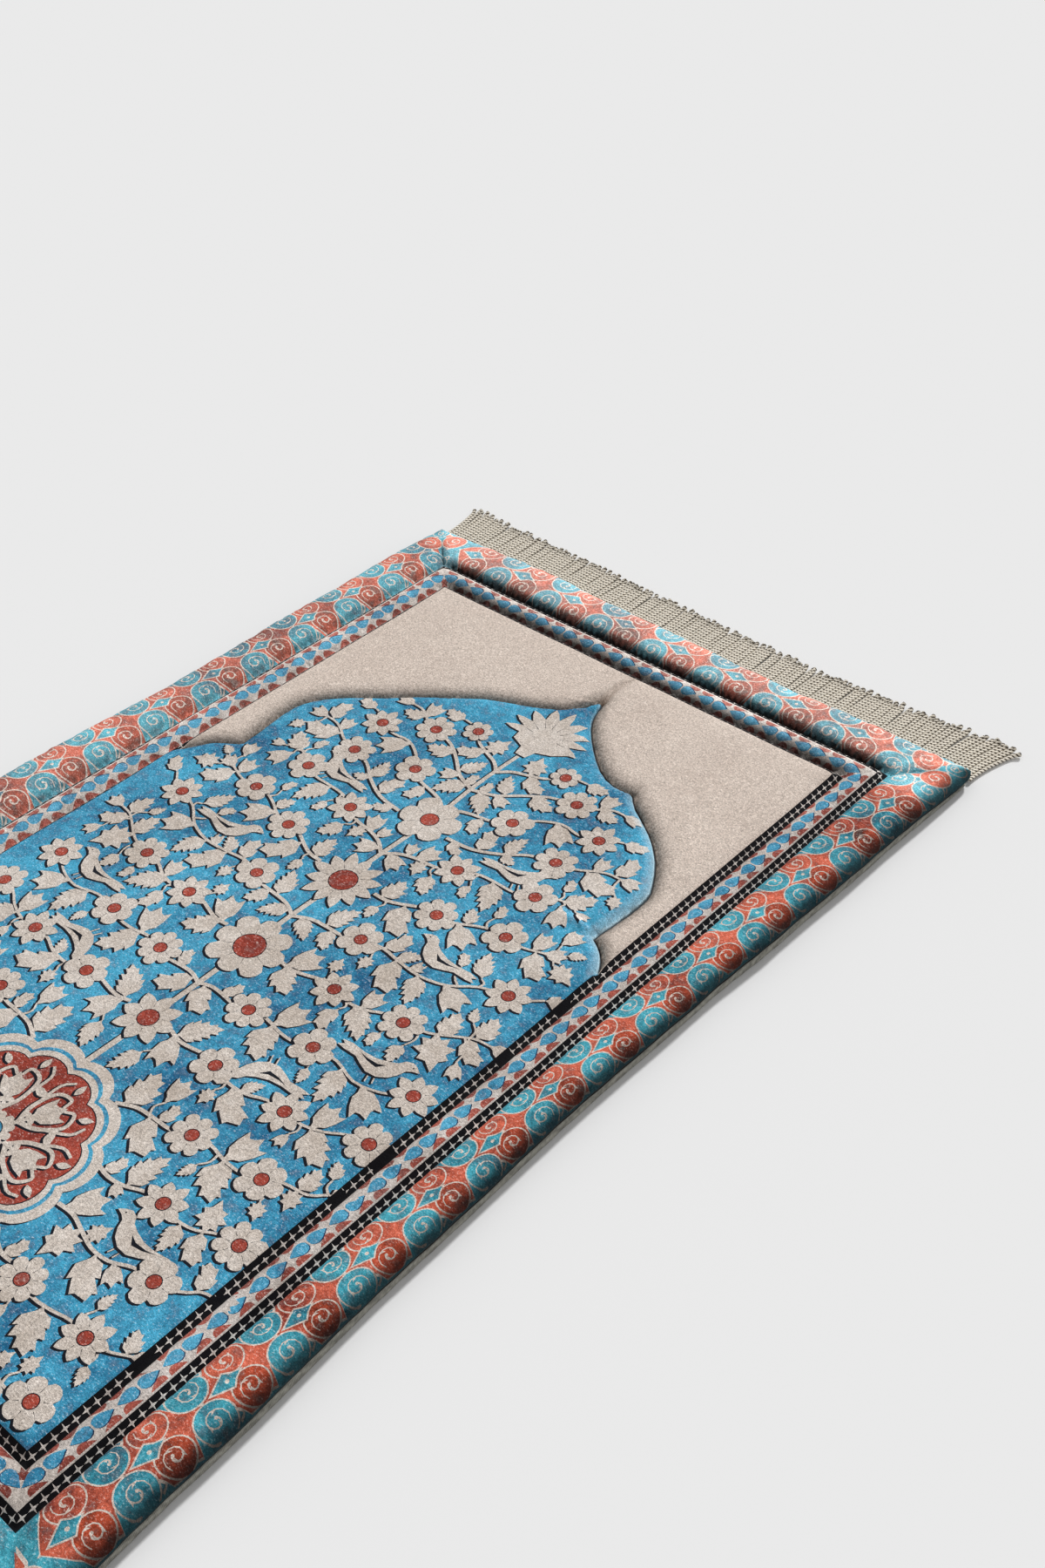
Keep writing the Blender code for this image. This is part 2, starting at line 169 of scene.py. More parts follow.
# The arch from its tip to each side of the field, in mm: (out from the tip, down from the head edge).
TIP_X = 13.0 * MM
ARCH_RIGHT = (
    ((0, 146), (6, 167), (18, 187), (40, 210), (67, 232), (93, 243), (114, 242)),
    ((114, 242), (128, 255), (161, 276), (188, 301), (206, 328), (213, 345), (213, 374), (210, 414)),
    ((210, 414), (222, 421), (232, 431), (240, 444), (246, 456)))
ARCH_LEFT = (
    ((0, 146), (9, 166), (27, 186), (59, 203), (92, 218), (119, 238)),
    ((119, 238), (148, 260), (173, 284), (197, 304), (216, 324), (228, 345), (231, 370), (225, 428)),
    ((225, 428), (239, 437), (250, 447), (259, 463), (272, 478)))


def insets(x, y):
    """How far places lie in from the nearest side and from the nearest end."""
    return MAT_WIDTH / 2 - np.abs(x), MAT_LENGTH / 2 - np.abs(y)


def share(value):
    """A value held between 0 and 1."""
    return np.clip(value, 0, 1)


def faded(distance, reach):
    """1 at a line, and soon less with the distance from it."""
    return np.exp(-distance / reach)


def bell(distance, reach):
    """1 at a line, full for a little way on both sides, and less further off."""
    return np.exp(-(distance / reach) ** 2)


def corner_nearness(x, y, reach):
    """1 on the lines from the corners inwards, and less with the distance from them."""
    across, along = insets(x, y)
    return bell(across - along, reach)


def seam_height(x, y):
    """Height of the seam between face and backing."""
    wave = 0.5 * MM * np.cos(19 * x + 23 * y) + 0.3 * MM * np.cos(47 * y - 31 * x)
    wave += 0.4 * MM * (np.sin(131 * y + 2 * np.sin(29 * y)) + np.sin(127 * x + 2 * np.sin(31 * x)))
    near = corner_nearness(x, y, 75 * MM)
    return EDGE_SEAM - (EDGE_SEAM - EDGE_SEAM_CORNER) * near + wave * (1 - near)


def eased(table, along):
    """Values of a table of (along, value) pairs in mm, with soft steps between its rows."""
    starts, values = np.array(table, float).T
    row = np.clip(np.searchsorted(starts, along / MM, side="right") - 1, 0, len(starts) - 2)
    part = share((along / MM - starts[row]) / (starts[row + 1] - starts[row]))
    return MM * (values[row] + (values[row + 1] - values[row]) * part * part * (3 - 2 * part))


def drawn_in(x, y):
    """Moves places as the sewing draws the edge in; the pull dies away over the outer border."""
    across, along = insets(x, y)
    down = MAT_LENGTH / 2 - y
    side = np.where(x > 0, eased(RIGHT_DRAWN, down), eased(LEFT_DRAWN, down))
    end = eased(END_DRAWN, MAT_WIDTH / 2 + np.copysign(x, x * y))
    side = side * np.clip(1 - across / OUTER_BORDER, 0, None)
    end = end * np.clip(1 - along / OUTER_BORDER, 0, None)
    return x - np.copysign(side, x), y - np.copysign(end, y)


def pillow(part):
    """Crown of the outer roll from its edge (0) to its inner seam (1), where it stays full for longer."""
    side = 2 * part - 1
    return np.clip(1 - np.abs(side) ** np.where(side > 0, 4.5, 2.2), 0, None) ** 0.6


def lumps(x, y):
    """Slow unevenness of the filling."""
    return 0.45 * MM * (np.sin(31 * x + 7 * y) * np.sin(27 * y - 5 * x) + 0.5 * np.sin(61 * x - 43 * y))


def through(knots, steps):
    """Points on the smooth curve through knots, with so many steps from knot to knot."""
    knots = np.array(knots, float)
    padded = np.vstack([2 * knots[0] - knots[1], knots, 2 * knots[-1] - knots[-2]])
    parts = (np.arange(steps) / steps)[:, None]
    made = []
    for before, start, end, after in zip(padded, padded[1:], padded[2:], padded[3:]):
        made.append(0.5 * (2 * start + (end - before) * parts
                           + (2 * before - 5 * start + 4 * end - after) * parts ** 2
                           + (3 * start - before - 3 * end + after) * parts ** 3))
    return np.vstack(made + [knots[-1:]])


def by_arch(out, down):
    """The place (m) so many mm out from the arch's tip and down from the head edge."""
    return np.array([TIP_X + out * MM, MAT_LENGTH / 2 - down * MM])


def arch_half(stretches, side):
    """Places along one half of the arch's seam, from its tip."""
    made = [through([by_arch(side * out, down) for out, down in stretch], 2)[:-1] for stretch in stretches]
    out, down = stretches[-1][-1]
    return np.vstack(made + [by_arch(side * out, down)])


ARCH = np.vstack([arch_half(ARCH_LEFT, -1)[:0:-1], arch_half(ARCH_RIGHT, 1)])
TIP = by_arch(0, ARCH_RIGHT[0][0][1])
STEM_TOP = MAT_LENGTH / 2 - 98.2 * MM
STEM = through([TIP, TIP + (-0.0022, 0.013), TIP + (-0.0028, 0.028), (TIP_X + 0.001, STEM_TOP)], 2)
RIGHT_CUSP, LEFT_CUSP = by_arch(210, 414), by_arch(-225, 428)

# Fans of puckers on the arch's seam: the middle, the heading in degrees and how many folds a half turn holds.
PUCKERS = ((TIP, 250, 15), (TIP, 292, 13), (by_arch(114, 242), 248, 12), (by_arch(-119, 238), 285, 12),
           (RIGHT_CUSP, 200, 13), (LEFT_CUSP, -20, 13))

# Single folds: the start, the heading in degrees, and the length, height (or depth) and half width in mm.
FOLDS = (
    (RIGHT_CUSP, 172, 40, 3.0, 4.8),
    (RIGHT_CUSP, 146, 26, -1.9, 5.0),
    (RIGHT_CUSP, 198, 26, -1.9, 5.0),
    (LEFT_CUSP, -18, 26, 2.0, 3.4),
    (LEFT_CUSP, 4, 20, -1.5, 3.2),
    (TIP + (0.009, -0.027), 193, 52, 1.0, 2.6),
    (TIP + (0.012, -0.041), 188, 40, 0.8, 2.6),
    (TIP + (0.001, -0.008), 205, 44, 0.9, 2.6),
)


def distance_to(chain, x, y):
    """Shortest distances from places to a chain of points."""
    best = np.full(np.shape(x), 1.0)
    for (ax, ay), (bx, by) in zip(chain, chain[1:]):
        dx, dy = bx - ax, by - ay
        part = share(((x - ax) * dx + (y - ay) * dy) / (dx * dx + dy * dy))
        best = np.minimum(best, np.hypot(x - ax - dx * part, y - ay - dy * part))
    return best


def seam_inset(x, y):
    """Inset as the border's seams see it: they lie outside the print's bands at the head and on the left."""
    across, along = insets(x, y)
    inset = np.minimum(across, along)
    end = share((across - along) / (16 * MM) + 0.5)
    shift = 3.4 * MM * end * (y > 0) + 2.4 * MM * (1 - end) * (x < 0)
    return inset + shift * share(inset / (50 * MM))


def ramp(distance, reach):
    """A straight rise from 0 at a seam to 1 at the shoulder of the next filled channel."""
    part = np.clip(distance / reach, 0, 6)
    return part - 0.08 * np.log1p(np.exp((part - 1) / 0.08))


def roll_height(x, y, inset, lump):
    """The outer roll, with its mitred corners."""
    part = inset / OUTER_BORDER
    fill = pillow(share(part))
    across, along = insets(x, y)
    base = (seam_height(x, y) + EDGE_TURN) * (1 - part) + CREASE * part
    bulge = (ROLL_CROWN - (EDGE_SEAM + EDGE_TURN + CREASE) / 2) * fill
    corner = 1 - 0.3 * corner_nearness(x, y, 30 * MM)
    mitre = 5.0 * MM * faded(np.abs(across - along), 7 * MM) * share(part * 1.25 - 0.2)
    return base + bulge * corner + lump * fill - mitre * fill


def channel_height(x, y, from_outer, from_inner, lump):
    """The inner border's channel, between its two creases."""
    across, along = insets(x, y)
    rise = ramp(from_outer, BAND_SLOPE) * share(1 - faded(from_inner, 3.2 * MM))
    mitre = 0.22 * faded(np.abs(across - along), 4 * MM)
    crown = 1 + 0.10 * np.sin(np.pi * share(from_outer / INNER_BORDER))
    return CREASE + (INNER_CROWN - CREASE) * rise * crown * (1 - mitre) + lump * rise


def field_height(x, y, from_inner, lump):
    """The field: full in its middle, and down to the border's crease, the arch's seam and the stem's seam."""
    full = FIELD_TOP + lump
    from_border = np.clip(-from_inner, 0, None)
    slow = faded(np.clip(from_border - BAND_SLOPE, 0, None), 16 * MM)
    sink = (full - CREASE) * (1 - 0.76 * ramp(from_border, BAND_SLOPE) - 0.24 * (1 - slow))
    from_arch, from_stem = distance_to(ARCH, x, y), distance_to(STEM, x, y)
    under = inside(arch_outline(), x, y)
    wide = np.where(under, 0.34, 0.62)
    near_arch = wide * faded(from_arch, 9 * MM) + (1 - wide) * faded(from_arch, 2.4 * MM)
    fading = 1 - 0.72 * share((y - TIP[1]) / (STEM_TOP - TIP[1])) ** 0.8
    sink_stem = (full - ARCH_SEAM) * fading * faded(from_stem, 5.5 * MM)
    sink_seams = np.maximum((full - ARCH_SEAM) * near_arch, sink_stem)
    swell = from_arch / (12 * MM) * np.exp(1 - from_arch / (12 * MM))
    blown = np.where(under, 1.8 * MM, 0.4 * MM) * swell * share(from_border / (14 * MM))
    sunk = np.maximum(np.maximum(sink, sink_seams), np.cbrt(sink ** 3 + sink_seams ** 3) * 0.96)
    return full + blown - sunk


def face_height(x, y):
    """Height of the quilted face above the floor."""
    inset = seam_inset(x, y)
    lump = lumps(x, y)
    from_outer, from_inner = inset - OUTER_BORDER, OUTER_BORDER + INNER_BORDER - inset
    roll = roll_height(x, y, inset, lump)
    channel = channel_height(x, y, from_outer, from_inner, lump)
    field = field_height(x, y, from_inner, lump)
    return np.where(inset < OUTER_BORDER, roll, np.where(inset < OUTER_BORDER + INNER_BORDER, channel, field))


def off_heading(dx, dy, heading):
    """The angle between directions and a heading, from 0 to a half turn."""
    return np.abs((np.arctan2(dy, dx) - heading + np.pi) % (2 * np.pi) - np.pi)


def puckers(x, y):
    """Small folds that the sewing leaves: along the tip's seam, round the arch's cusps and on the roll."""
    across, along = insets(x, y)
    made = folded(x, y)
    for (px, py), degrees, folds in PUCKERS:
        dx, dy = x - px, y - py
        turn = off_heading(dx, dy, math.radians(degrees))
        fan = np.exp(-(turn / 0.75) ** 4) * bell(np.hypot(dx, dy) - 17 * MM, 14 * MM)
        made += 0.9 * MM * fan * np.cos(folds * turn + 0.6)
    on_roll = bell(np.minimum(across, along) - 9 * MM, 10 * MM)
    run = np.where(across < along, y, x)
    ripple = np.sin(run * 330 + 2.3 * np.sin(run * 61)) + 0.6 * np.sin(run * 211 + 3 * np.sin(run * 37))
    return made + 0.5 * MM * on_roll * ripple * (0.55 + 0.45 * np.sin(run * 23 + 1))


def folded(x, y):
    """Height of the single folds: above 0 on their backs and below 0 in the hollows beside them."""
    made = np.zeros(np.shape(x))
    for (px, py), degrees, long, high, wide in FOLDS:
        cos, sin = math.cos(math.radians(degrees)), math.sin(math.radians(degrees))
        dx, dy = x - px, y - py
        run, side = dx * cos + dy * sin, dy * cos - dx * sin
        shape = bell(side, wide * MM) * bell(np.clip(run, 0, None), long * MM)
        made += high * MM * shape * share(run / (7 * MM))
    return made


def drawn_to_corner(x, y):
    """Rounds the corners by drawing the places next to them inwards."""
    across, along = insets(x, y)
    cut = CORNER_CUT * np.clip(1 - np.minimum(across, along) / (25 * MM), 0, None)
    near = faded(np.abs(across - along), 5 * MM) * cut
    return x - np.copysign(near, x), y - np.copysign(near, y)


def on_face(x, y):
    """Points of the face over places of the flat print, all in metres."""
    x, y = drawn_to_corner(x, y)
    height = face_height(x, y) + puckers(x, y)
    return np.column_stack([*drawn_in(x, y), height])


def nap(x, y):
    """Painted shade: how dark the pile is drawn where light doesn't reach, in creases, mitres, fold hollows
    and low sides.
    """
    across, along = insets(x, y)
    inset = seam_inset(x, y)
    end = share((across - along) / (12 * MM))
    head, left = end * (y > 0), (1 - end) * (x < 0)

    def crease(before, at_head, start, rise, fall, elsewhere):
        """Painted shade in a crease: a strip at the head that comes up over rise from start before the crease;
        elsewhere a thin line.
        """
        strip = share((start - before) / rise) * share((before + 9 * MM) / fall)
        line = (before > 0) * faded(np.abs(before), 1.6 * MM)
        return np.maximum(at_head * head * strip, elsewhere * line)

    roll = crease(OUTER_BORDER - inset, 1.0, 9.6 * MM, 7.8 * MM, 4 * MM, 0.35 * left)
    channel = crease(OUTER_BORDER + INNER_BORDER - inset, 0.93, 13 * MM, 12 * MM, 3 * MM, 0.2 + 0.15 * left)
    mitre = faded(np.abs(across - along), 2.2 * MM) * (y > 0) * share(inset / (20 * MM) - 0.9)
    mitre *= (inset < OUTER_BORDER) * np.where(x < 0, 1.0, 0.5)
    # Painted shade low on the sides that face away from the light, most on the right, and in the hollows of
    # folds.
    low = share((17 * MM - inset) / (13 * MM)) ** 0.9 * np.where(x > 0, 0.92, 0.15) * (1 - end)
    hollow = 0.45 * share(-folded(x, y) / (2.4 * MM))
    return np.maximum.reduce([roll, channel, mitre, hollow, low])


def wash(x, y):
    """Painted highlight at the head, a little on the left and on fold backs, and a paler spot at the right
    corner.
    """
    across, along = insets(x, y)
    inset = np.minimum(across, along)
    end = share((across - along) / (14 * MM) + 0.4)
    borders = np.clip((BAND_OUTER[1] + 12 - inset / MM) / 12, 0.35, 1) * (inset < 90 * MM)
    from_corner = np.hypot(x - (MAT_WIDTH / 2 - 34 * MM), y - (MAT_LENGTH / 2 - 62 * MM))
    spot = 1.1 * bell(from_corner, 24 * MM) * (inset < 60 * MM)
    back = 1.3 * share(folded(x, y) / (3 * MM)) ** 1.5
    return np.maximum(borders * (end * (y > 0) + 0.5 * (1 - end) * (x < 0)), np.maximum(spot, back))


# ---------------------------------------------------------------- outlines of the motifs, in mm

PETAL_STEPS = 6                  # places of an outline on each petal


def turned(outline, angle, centre=(0, 0), size=1.0):
    """An outline turned about its origin, resized and set at a centre."""
    cos, sin = math.cos(angle) * size, math.sin(angle) * size
    return np.asarray(outline) @ np.array([[cos, sin], [-sin, cos]]) + centre


def polar(radius, angles):
    """Places at a distance from the origin and at the given angles."""
    return np.column_stack([radius * np.cos(angles), radius * np.sin(angles)])


def disc(radius, count=12, turn=0.0):
    """A round outline of so many places about the origin."""
    return polar(1, turn + np.arange(count) * 2 * np.pi / count) * radius


def heading_of(step):
    """The direction of a step, in radians."""
    return math.atan2(step[1], step[0])


def beside(steps):
    """Unit steps to the left of the given steps."""
    steps = steps / np.maximum(np.hypot(*steps.T), 1e-9)[:, None]
    return np.column_stack([-steps[:, 1], steps[:, 0]])


def flower(petals, reach, waist, pointed):
    """A flower seen from above, with round or pointed petals that aren't quite alike."""
    place = np.arange(petals * PETAL_STEPS) / PETAL_STEPS
    part = place % 1
    lift = (1 - np.abs(2 * part - 1)) ** 0.85 if pointed else np.sin(np.pi * part) ** 0.5
    uneven = 1 + 0.05 * np.sin(2.9 * np.floor(place) + petals)
    return polar(waist + (reach * uneven - waist) * lift, place * 2 * np.pi / petals)


def serrated_leaf(long, wide, teeth, lean=0.12):
    """A pointed leaf with saw teeth on both sides, from its stalk at the origin along +x."""
    upper = [(0, 0), (0.10, 0.10)]
    for tooth in range(teeth):
        start = 0.22 + 0.66 * tooth / teeth
        tip = start + 0.66 / teeth * 0.95
        swell = math.sin(math.pi * min(1, (start + 0.12)) ** 0.85)
        upper += [(start, 0.40 * swell + 0.06), (tip, 0.52 * swell + 0.05), (tip - 0.02, 0.36 * swell)]
    upper = np.array(upper)
    outline = np.vstack([upper, [(1.0, 0.0)], upper[:0:-1] * (1, -1) * (1, 0.86)]) * (long, wide)
    outline[:, 1] += lean * long * np.sin(np.pi * outline[:, 0] / long) * 0.5
    return outline


def both_sides(upper, long, wide):
    """An outline along +x from its upper side, with a point at its end and the lower side like the upper."""
    upper = np.array(upper)
    return np.vstack([upper, [(1.0, 0.0)], upper[::-1] * (1, -1)]) * (long, wide)


def lobed_leaf(long, wide):
    """A leaf of five pointed lobes, from its stalk along +x."""
    return both_sides([(0, 0.04), (0.14, 0.12), (0.10, 0.34), (0.30, 0.28), (0.36, 0.52), (0.52, 0.30),
                       (0.66, 0.38), (0.72, 0.16)], long, wide)


def bud(long, wide):
    """A half-open bud of three tips on a small cup, along +x."""
    return both_sides([(0, 0.05), (0.16, 0.16), (0.26, 0.34), (0.52, 0.46), (0.86, 0.52), (0.74, 0.30),
                       (0.80, 0.16)], long, wide)


def drop(long, wide):
    """A drop along +x, round at the origin's side and pointed at the other."""
    return both_sides([(0, 0.22), (0.10, 0.40), (0.28, 0.50), (0.52, 0.44), (0.78, 0.22)], long, wide)


def plain_leaf(long, wide):
    """A smooth pointed leaf along +x."""
    upper = np.array([(0, 0), (0.12, 0.20), (0.30, 0.42), (0.50, 0.47), (0.72, 0.34), (0.88, 0.14)])
    return np.vstack([upper, [(1.0, 0.02)], upper[:0:-1] * (1, -0.8)]) * (long, wide)


# A perched bird that looks along +x, with its legs down: its body, the line of its wing, its eye and its legs.
BIRD = np.array([
    (39, 15), (33, 19.5), (27.5, 21.5), (21.5, 19.5), (17, 14), (9, 10.5), (-3, 7.5), (-16, 7.5), (-30, 10),
    (-41, 9), (-36, 5.5), (-42, 2.5), (-33, 0.5), (-19, -0.5), (-11, -5), (-1, -9.5), (10, -9), (19, -4),
    (24.5, 3), (27.5, 10), (32, 13)])
BIRD_WING = np.array([(10, 6), (2, 3), (-10, 3.5), (-20, 6), (-8, 1), (3, -1)])
BIRD_EYE = turned(disc(0.9, 6), 0, (31, 16.6))
BIRD_LEGS = (((3, -8), (5, -18)), ((9, -8), (12, -17)))


def stroke(line, start_width, end_width=None):
    """The outline of a line drawn with a brush that may thin towards its end."""
    line = np.asarray(line, float)
    end_width = start_width if end_width is None else end_width
    side = beside(np.gradient(line, axis=0))
    half = np.linspace(start_width, end_width, len(line))[:, None] / 2
    return np.vstack([line + side * half, (line - side * half)[::-1]])


def spiral(outer, inner, start, turns, steps):
    """A line that winds inwards about the origin."""
    part = np.linspace(0, 1, steps)
    return polar(outer + (inner - outer) * part ** 0.9, start + turns * 2 * np.pi * part)


# ---------------------------------------------------------------- borders, as (rank, ink, outline in mm)

PRINT_EDGE = 0.3                 # shapes stop this far in from the mat's edge
BAND_OUTER = (59.6, 67.6)        # the star bands, in from the mat's edge
BAND_INNER = (89.8, 97.6)
CORNER = 60.0                    # the outer border's corner squares
CORNER_REACH = 28.5              # how far from the middle of such a square its motifs reach


def sides():
    """Each side's name and length, and a function that takes (along, inset) in mm to the flat print."""
    def long_side(hand):
        return lambda p: np.column_stack([hand * (HALF_WIDE - p[:, 1]), HALF_LONG - p[:, 0]])

    def end(hand):
        return lambda p: hand * (HALF_MM - p)

    return (("right", 2 * HALF_LONG, long_side(1)), ("left", 2 * HALF_LONG, long_side(-1)),
            ("head", 2 * HALF_WIDE, end(1)), ("foot", 2 * HALF_WIDE, end(-1)))


def repeats(run, start, pitch):
    """Where each repeat starts on a run that begins and ends so far from the corners, and its true pitch."""
    count = max(1, round((run - 2 * start) / pitch))
    true = (run - 2 * start) / count
    return [start + true * index for index in range(count)], true


def moved(shapes, by, up=0):
    """Shapes moved by so many mm, and up by so many ranks."""
    return [(rank + up, ink, outline + by) for rank, ink, outline in shapes]


def scroll_lobe(radius, ink, hand, turn):
    """A round lobe with its outline and the barbed curl drawn in it."""
    line = spiral(0.70 * radius, 0.15 * radius, turn, 1.25 * hand, 15)
    made = [(3, "outline", disc(radius + 1.3, 20)), (4, ink, disc(radius, 20, 0.1)),
            (5, "outline", stroke(line, 0.8, 1.5)), (5, "outline", disc(1.5, 6) + line[-1])]
    for place, side, long in ((3, 1, 4.4), (7, -1, 3.8), (10, 1, 3.2)):
        barb = np.array([(-1.3, 0), (0.45 * long, 1.5), (long, 2.9), (0.75 * long, 0.5), (1.7, 0)])
        heading = heading_of(line[place + 1] - line[place])
        made.append((5, "outline", turned(barb * (1, side * hand), heading, line[place])))
    return made


def scroll_unit(away):
    """One 70 mm repeat of the outer border: u runs along it and v across, from its middle line.

    away is 1 or -1: the half, inner or outer, that turns away from the light and gets the lobe ink with
    painted shade."""
    made = []
    warm = np.array([(3, 0), (8, 5), (14, 9), (20, 15), (22, 22), (24, 28.5), (31, 27), (40, 29.4),
                     (50, 28.8), (53.5, 22), (57, 18), (62, 11), (66, 5), (69, 0)])
    for hand in (1, -1):
        side = warm * (1, hand)
        made += [(1, "outline", np.vstack([side + (0, 1.5 * hand), [(72, 0), (1, 0)]])), (2, "lobe", side)]
        made += moved(scroll_lobe(15.4, "scroll", hand, 2.4 * hand), (3, 17.0 * hand))
        # Lobes on the half that turns away from the light get painted shade.
        lobe = scroll_lobe(14.0, "lobe_shaded" if hand == away else "lobe", -hand, 0.7 * hand)
        made += moved(lobe, (37.5, 16.0 * hand), 3)
        for knots, start, end in ((((-12, 21), (-15, 25.5), (-10, 28.5)), 1.2, 1.6),
                                  (((17, 25), (15, 28), (9, 29)), 1.6, 1.0)):
            made.append((5, "outline", stroke(through(np.array(knots) * (1, hand), 3), start, end)))
    gem = np.array([(35.6, 0), (42, 3.2), (46.5, 7.6), (52, 5.0), (62, 0), (52, -5.0), (46.5, -7.6),
                    (42, -3.2)])
    return made + [(7, "outline", (gem - (48, 0)) * 1.22 + (48, 0)), (8, "scroll", gem),
                   (9, "outline", disc(1.9, 7) + (47.5, 0))]


def scroll_corner():
    """The outer border's corner square, about its middle."""
    made = moved(scroll_lobe(9.5, "scroll", 1, 2.0), (17.5, 17.5))
    flame = np.array([(0, 0), (13, 5), (27, 2), (16, 11), (5, 13)])
    for hand in (1, -1):
        made += moved(scroll_lobe(14.0, "lobe", hand, 0.4 * hand), (10.5 * hand, -10.5 * hand), 3)
        for turn in (0.8, 2.4):
            turn += np.pi * (hand > 0)
            made += [(2, "outline", turned(flame, turn, (0, 0), 1.15)), (2.5, "lobe", turned(flame, turn))]
    return made


def drop_unit(first, last, pitch):
    """A pair of drops that point away from each other, with half drops along both edges of the channel."""
    made = []
    for hand in (1, -1):
        shape = drop(16.8, 11.0) * (hand, 1) + (pitch / 2 + 1.0 * hand, (first + last) / 2)
        made += [(2, "drop", shape), (1, "drop_edge", shape + (-0.5, -0.8))]
        for edge, inwards in ((first + 1.3, 1), (last - 0.7, -1)):
            part = np.vstack([[(0, 0)], drop(14.6, 11.4)[:6]]) * (hand, inwards)
            made.append((1, "half_drop", part + (1.4 if hand > 0 else pitch - 1.4, edge)))
    return made


def star(long, wide, waist):
    """A star of four thin points, longer along its band."""
    outline = disc(1, 8) * (long, wide)
    outline[1::2] = disc(waist, 8)[1::2]
    return outline


def border_shapes(sizes):
    """Every shape of the borders, placed on the flat print."""
    made = []
    for name, run, place in sides():
        starts, pitch = repeats(run, CORNER, sizes.scroll_pitch / MM)
        stretch = pitch / (sizes.scroll_pitch / MM)
        unit = scroll_unit(-1 if name == "right" else 1)
        for start in starts:
            for rank, ink, outline in unit:
                spots = outline * (stretch, 1) + (start, CORNER / 2)
                spots[:, 1] = np.clip(spots[:, 1], PRINT_EDGE, BAND_OUTER[0] - 0.2)
                made.append((rank, ink, place(spots)))
        starts, pitch = repeats(run, BAND_OUTER[1] + 10, sizes.drop_pitch / MM)
        unit = drop_unit(BAND_OUTER[1], BAND_INNER[0], pitch)
        made += [(rank, ink, place(outline + (start, 0))) for start in starts for rank, ink, outline in unit]
        for first, last in (BAND_OUTER, BAND_INNER):
            middle = (first + last) / 2
            starts, pitch = repeats(run, middle - 0.5 * sizes.star_pitch / MM, sizes.star_pitch / MM)
            made += [(1, "star", place(star(4.2, 3.4, 0.95) + (start + pitch, middle)))
                     for start in starts[:-1]]
    for side in (1, -1):
        for end in (1, -1):
            centre = (HALF_MM - CORNER / 2) * (side, end)
            made += [(rank, ink, np.clip(outline, -CORNER_REACH, CORNER_REACH) * (side, end) + centre)
                     for rank, ink, outline in scroll_corner()]
    return made


# ---------------------------------------------------------------- the field's own layout, in mm

# Places are (out from the middle line, down from the head edge). Each branch starts on the trunk, a rosette
# or the medallion and passes its flowers. A flower is given by its petals, reach and whether it is pointed.
ROUND, STARRY, WILD = (8, 20, False), (8, 21, True), (6, 20, False)

# The rosettes on the trunk: (down, petals, reach, whether it is pointed, the heart's radius).
ROSETTES = ((395, 6, 31, False, 8.5), (505, 12, 36, True, 13), (615, 8, 36, False, 14),
            (725, 8, 28, True, 9))

# The branches: the stops, with the flower where there is one, and how the branch ends.
BRANCHES = (
    (((0, 304), (26, 288), (56, 268, (7, 15, False)), (78, 262)), "leaf"),
    (((0, 338), (42, 314), (90, 292, ROUND), (116, 280), (134, 276)), "bud"),
    (((0, 378), (26, 364), (62, 350, WILD), (98, 322), (138, 318, STARRY), (158, 306)), "leaf"),
    (((30, 404), (84, 388), (128, 366, ROUND), (162, 352), (186, 346)), "bud"),
    (((0, 458), (30, 442), (68, 430, STARRY), (108, 420), (144, 412, WILD), (166, 400)), "none"),
    (((34, 500), (62, 494), (94, 484, ROUND), (128, 472), (158, 466, WILD), (196, 460)), "bud"),
    (((0, 566), (34, 556), (66, 548, WILD), (110, 546), (160, 540), (206, 516, STARRY), (232, 500)), "leaf"),
    (((34, 610), (60, 608), (92, 604, STARRY), (128, 604), (162, 594, ROUND), (206, 576), (232, 566)), "bud"),
    (((0, 672), (26, 668), (56, 666, ROUND), (92, 666), (126, 660, WILD), (176, 664), (222, 644, STARRY)),
     "none"),
    (((26, 722), (52, 724), (82, 724, WILD), (122, 728), (158, 720, STARRY), (196, 714), (230, 700, ROUND)),
     "none"),
    (((52, 800), (88, 790), (122, 782, ROUND), (158, 782), (194, 776, WILD), (226, 764), (240, 752)), "leaf"),
    (((90, 846), (122, 846), (156, 838, STARRY), (192, 838), (226, 826, ROUND)), "none"),
    (((97, 888), (130, 892), (166, 896), (204, 886, WILD), (228, 876), (242, 866)), "bud"),
    (((82, 930), (104, 942), (132, 946, ROUND), (168, 948), (204, 946, STARRY), (238, 934)), "bud"),
    (((46, 966), (58, 984), (78, 998, WILD), (112, 1004), (148, 1002, ROUND), (184, 1004), (216, 1000, WILD)),
     "none"),
    (((0, 976), (3, 988), (2, 1002, (8, 15, True))), "none"),
)

# The birds: (out, down, turn in degrees, -1 where it looks towards the middle line).
BIRDS = ((112, 402, -12, 1), (136, 524, 4, -1), (176, 642, -6, 1), (122, 700, 170, 1), (170, 876, 0, -1))
BIRD_SIZE = 0.92
PALMETTE = 232                   # down to the palmette's heart, under the arch's tip
MEDALLION, MEDALLION_REACH = 880, 97
FIELD_INSET = BAND_INNER[1]      # the field's print starts at the inner star band
FIELD_MIDDLE = TIP_X / MM - 2    # the layout's middle line, to the right of the mat's own
HALF_FIELD = 262                 # how far out from the middle line the ground is looked at
ARCH_CLEAR, RIM_CLEAR = 7, 3     # how far leaves stay off the arch's seam and the star band
CELL = 2.0                       # mm of the grid that tells free ground from printed ground
LEAF_ROUNDS = (((40, 35, 30), 26), ((29, 25, 21, 18), 17))   # leaf sizes to try and the spacing, in mm
LEAF_TURNS = (0.85, 0.6, 1.15, 1.45)             # angles to try between a leaf and its branch
SPRIG_SIZES, SPRIG_STEP = (32, 27, 22, 18), 8.0
NEAREST_SPRIG, FARTHEST_SPRIG = 10, 52           # from the branch to the middle of the sprig's leaf


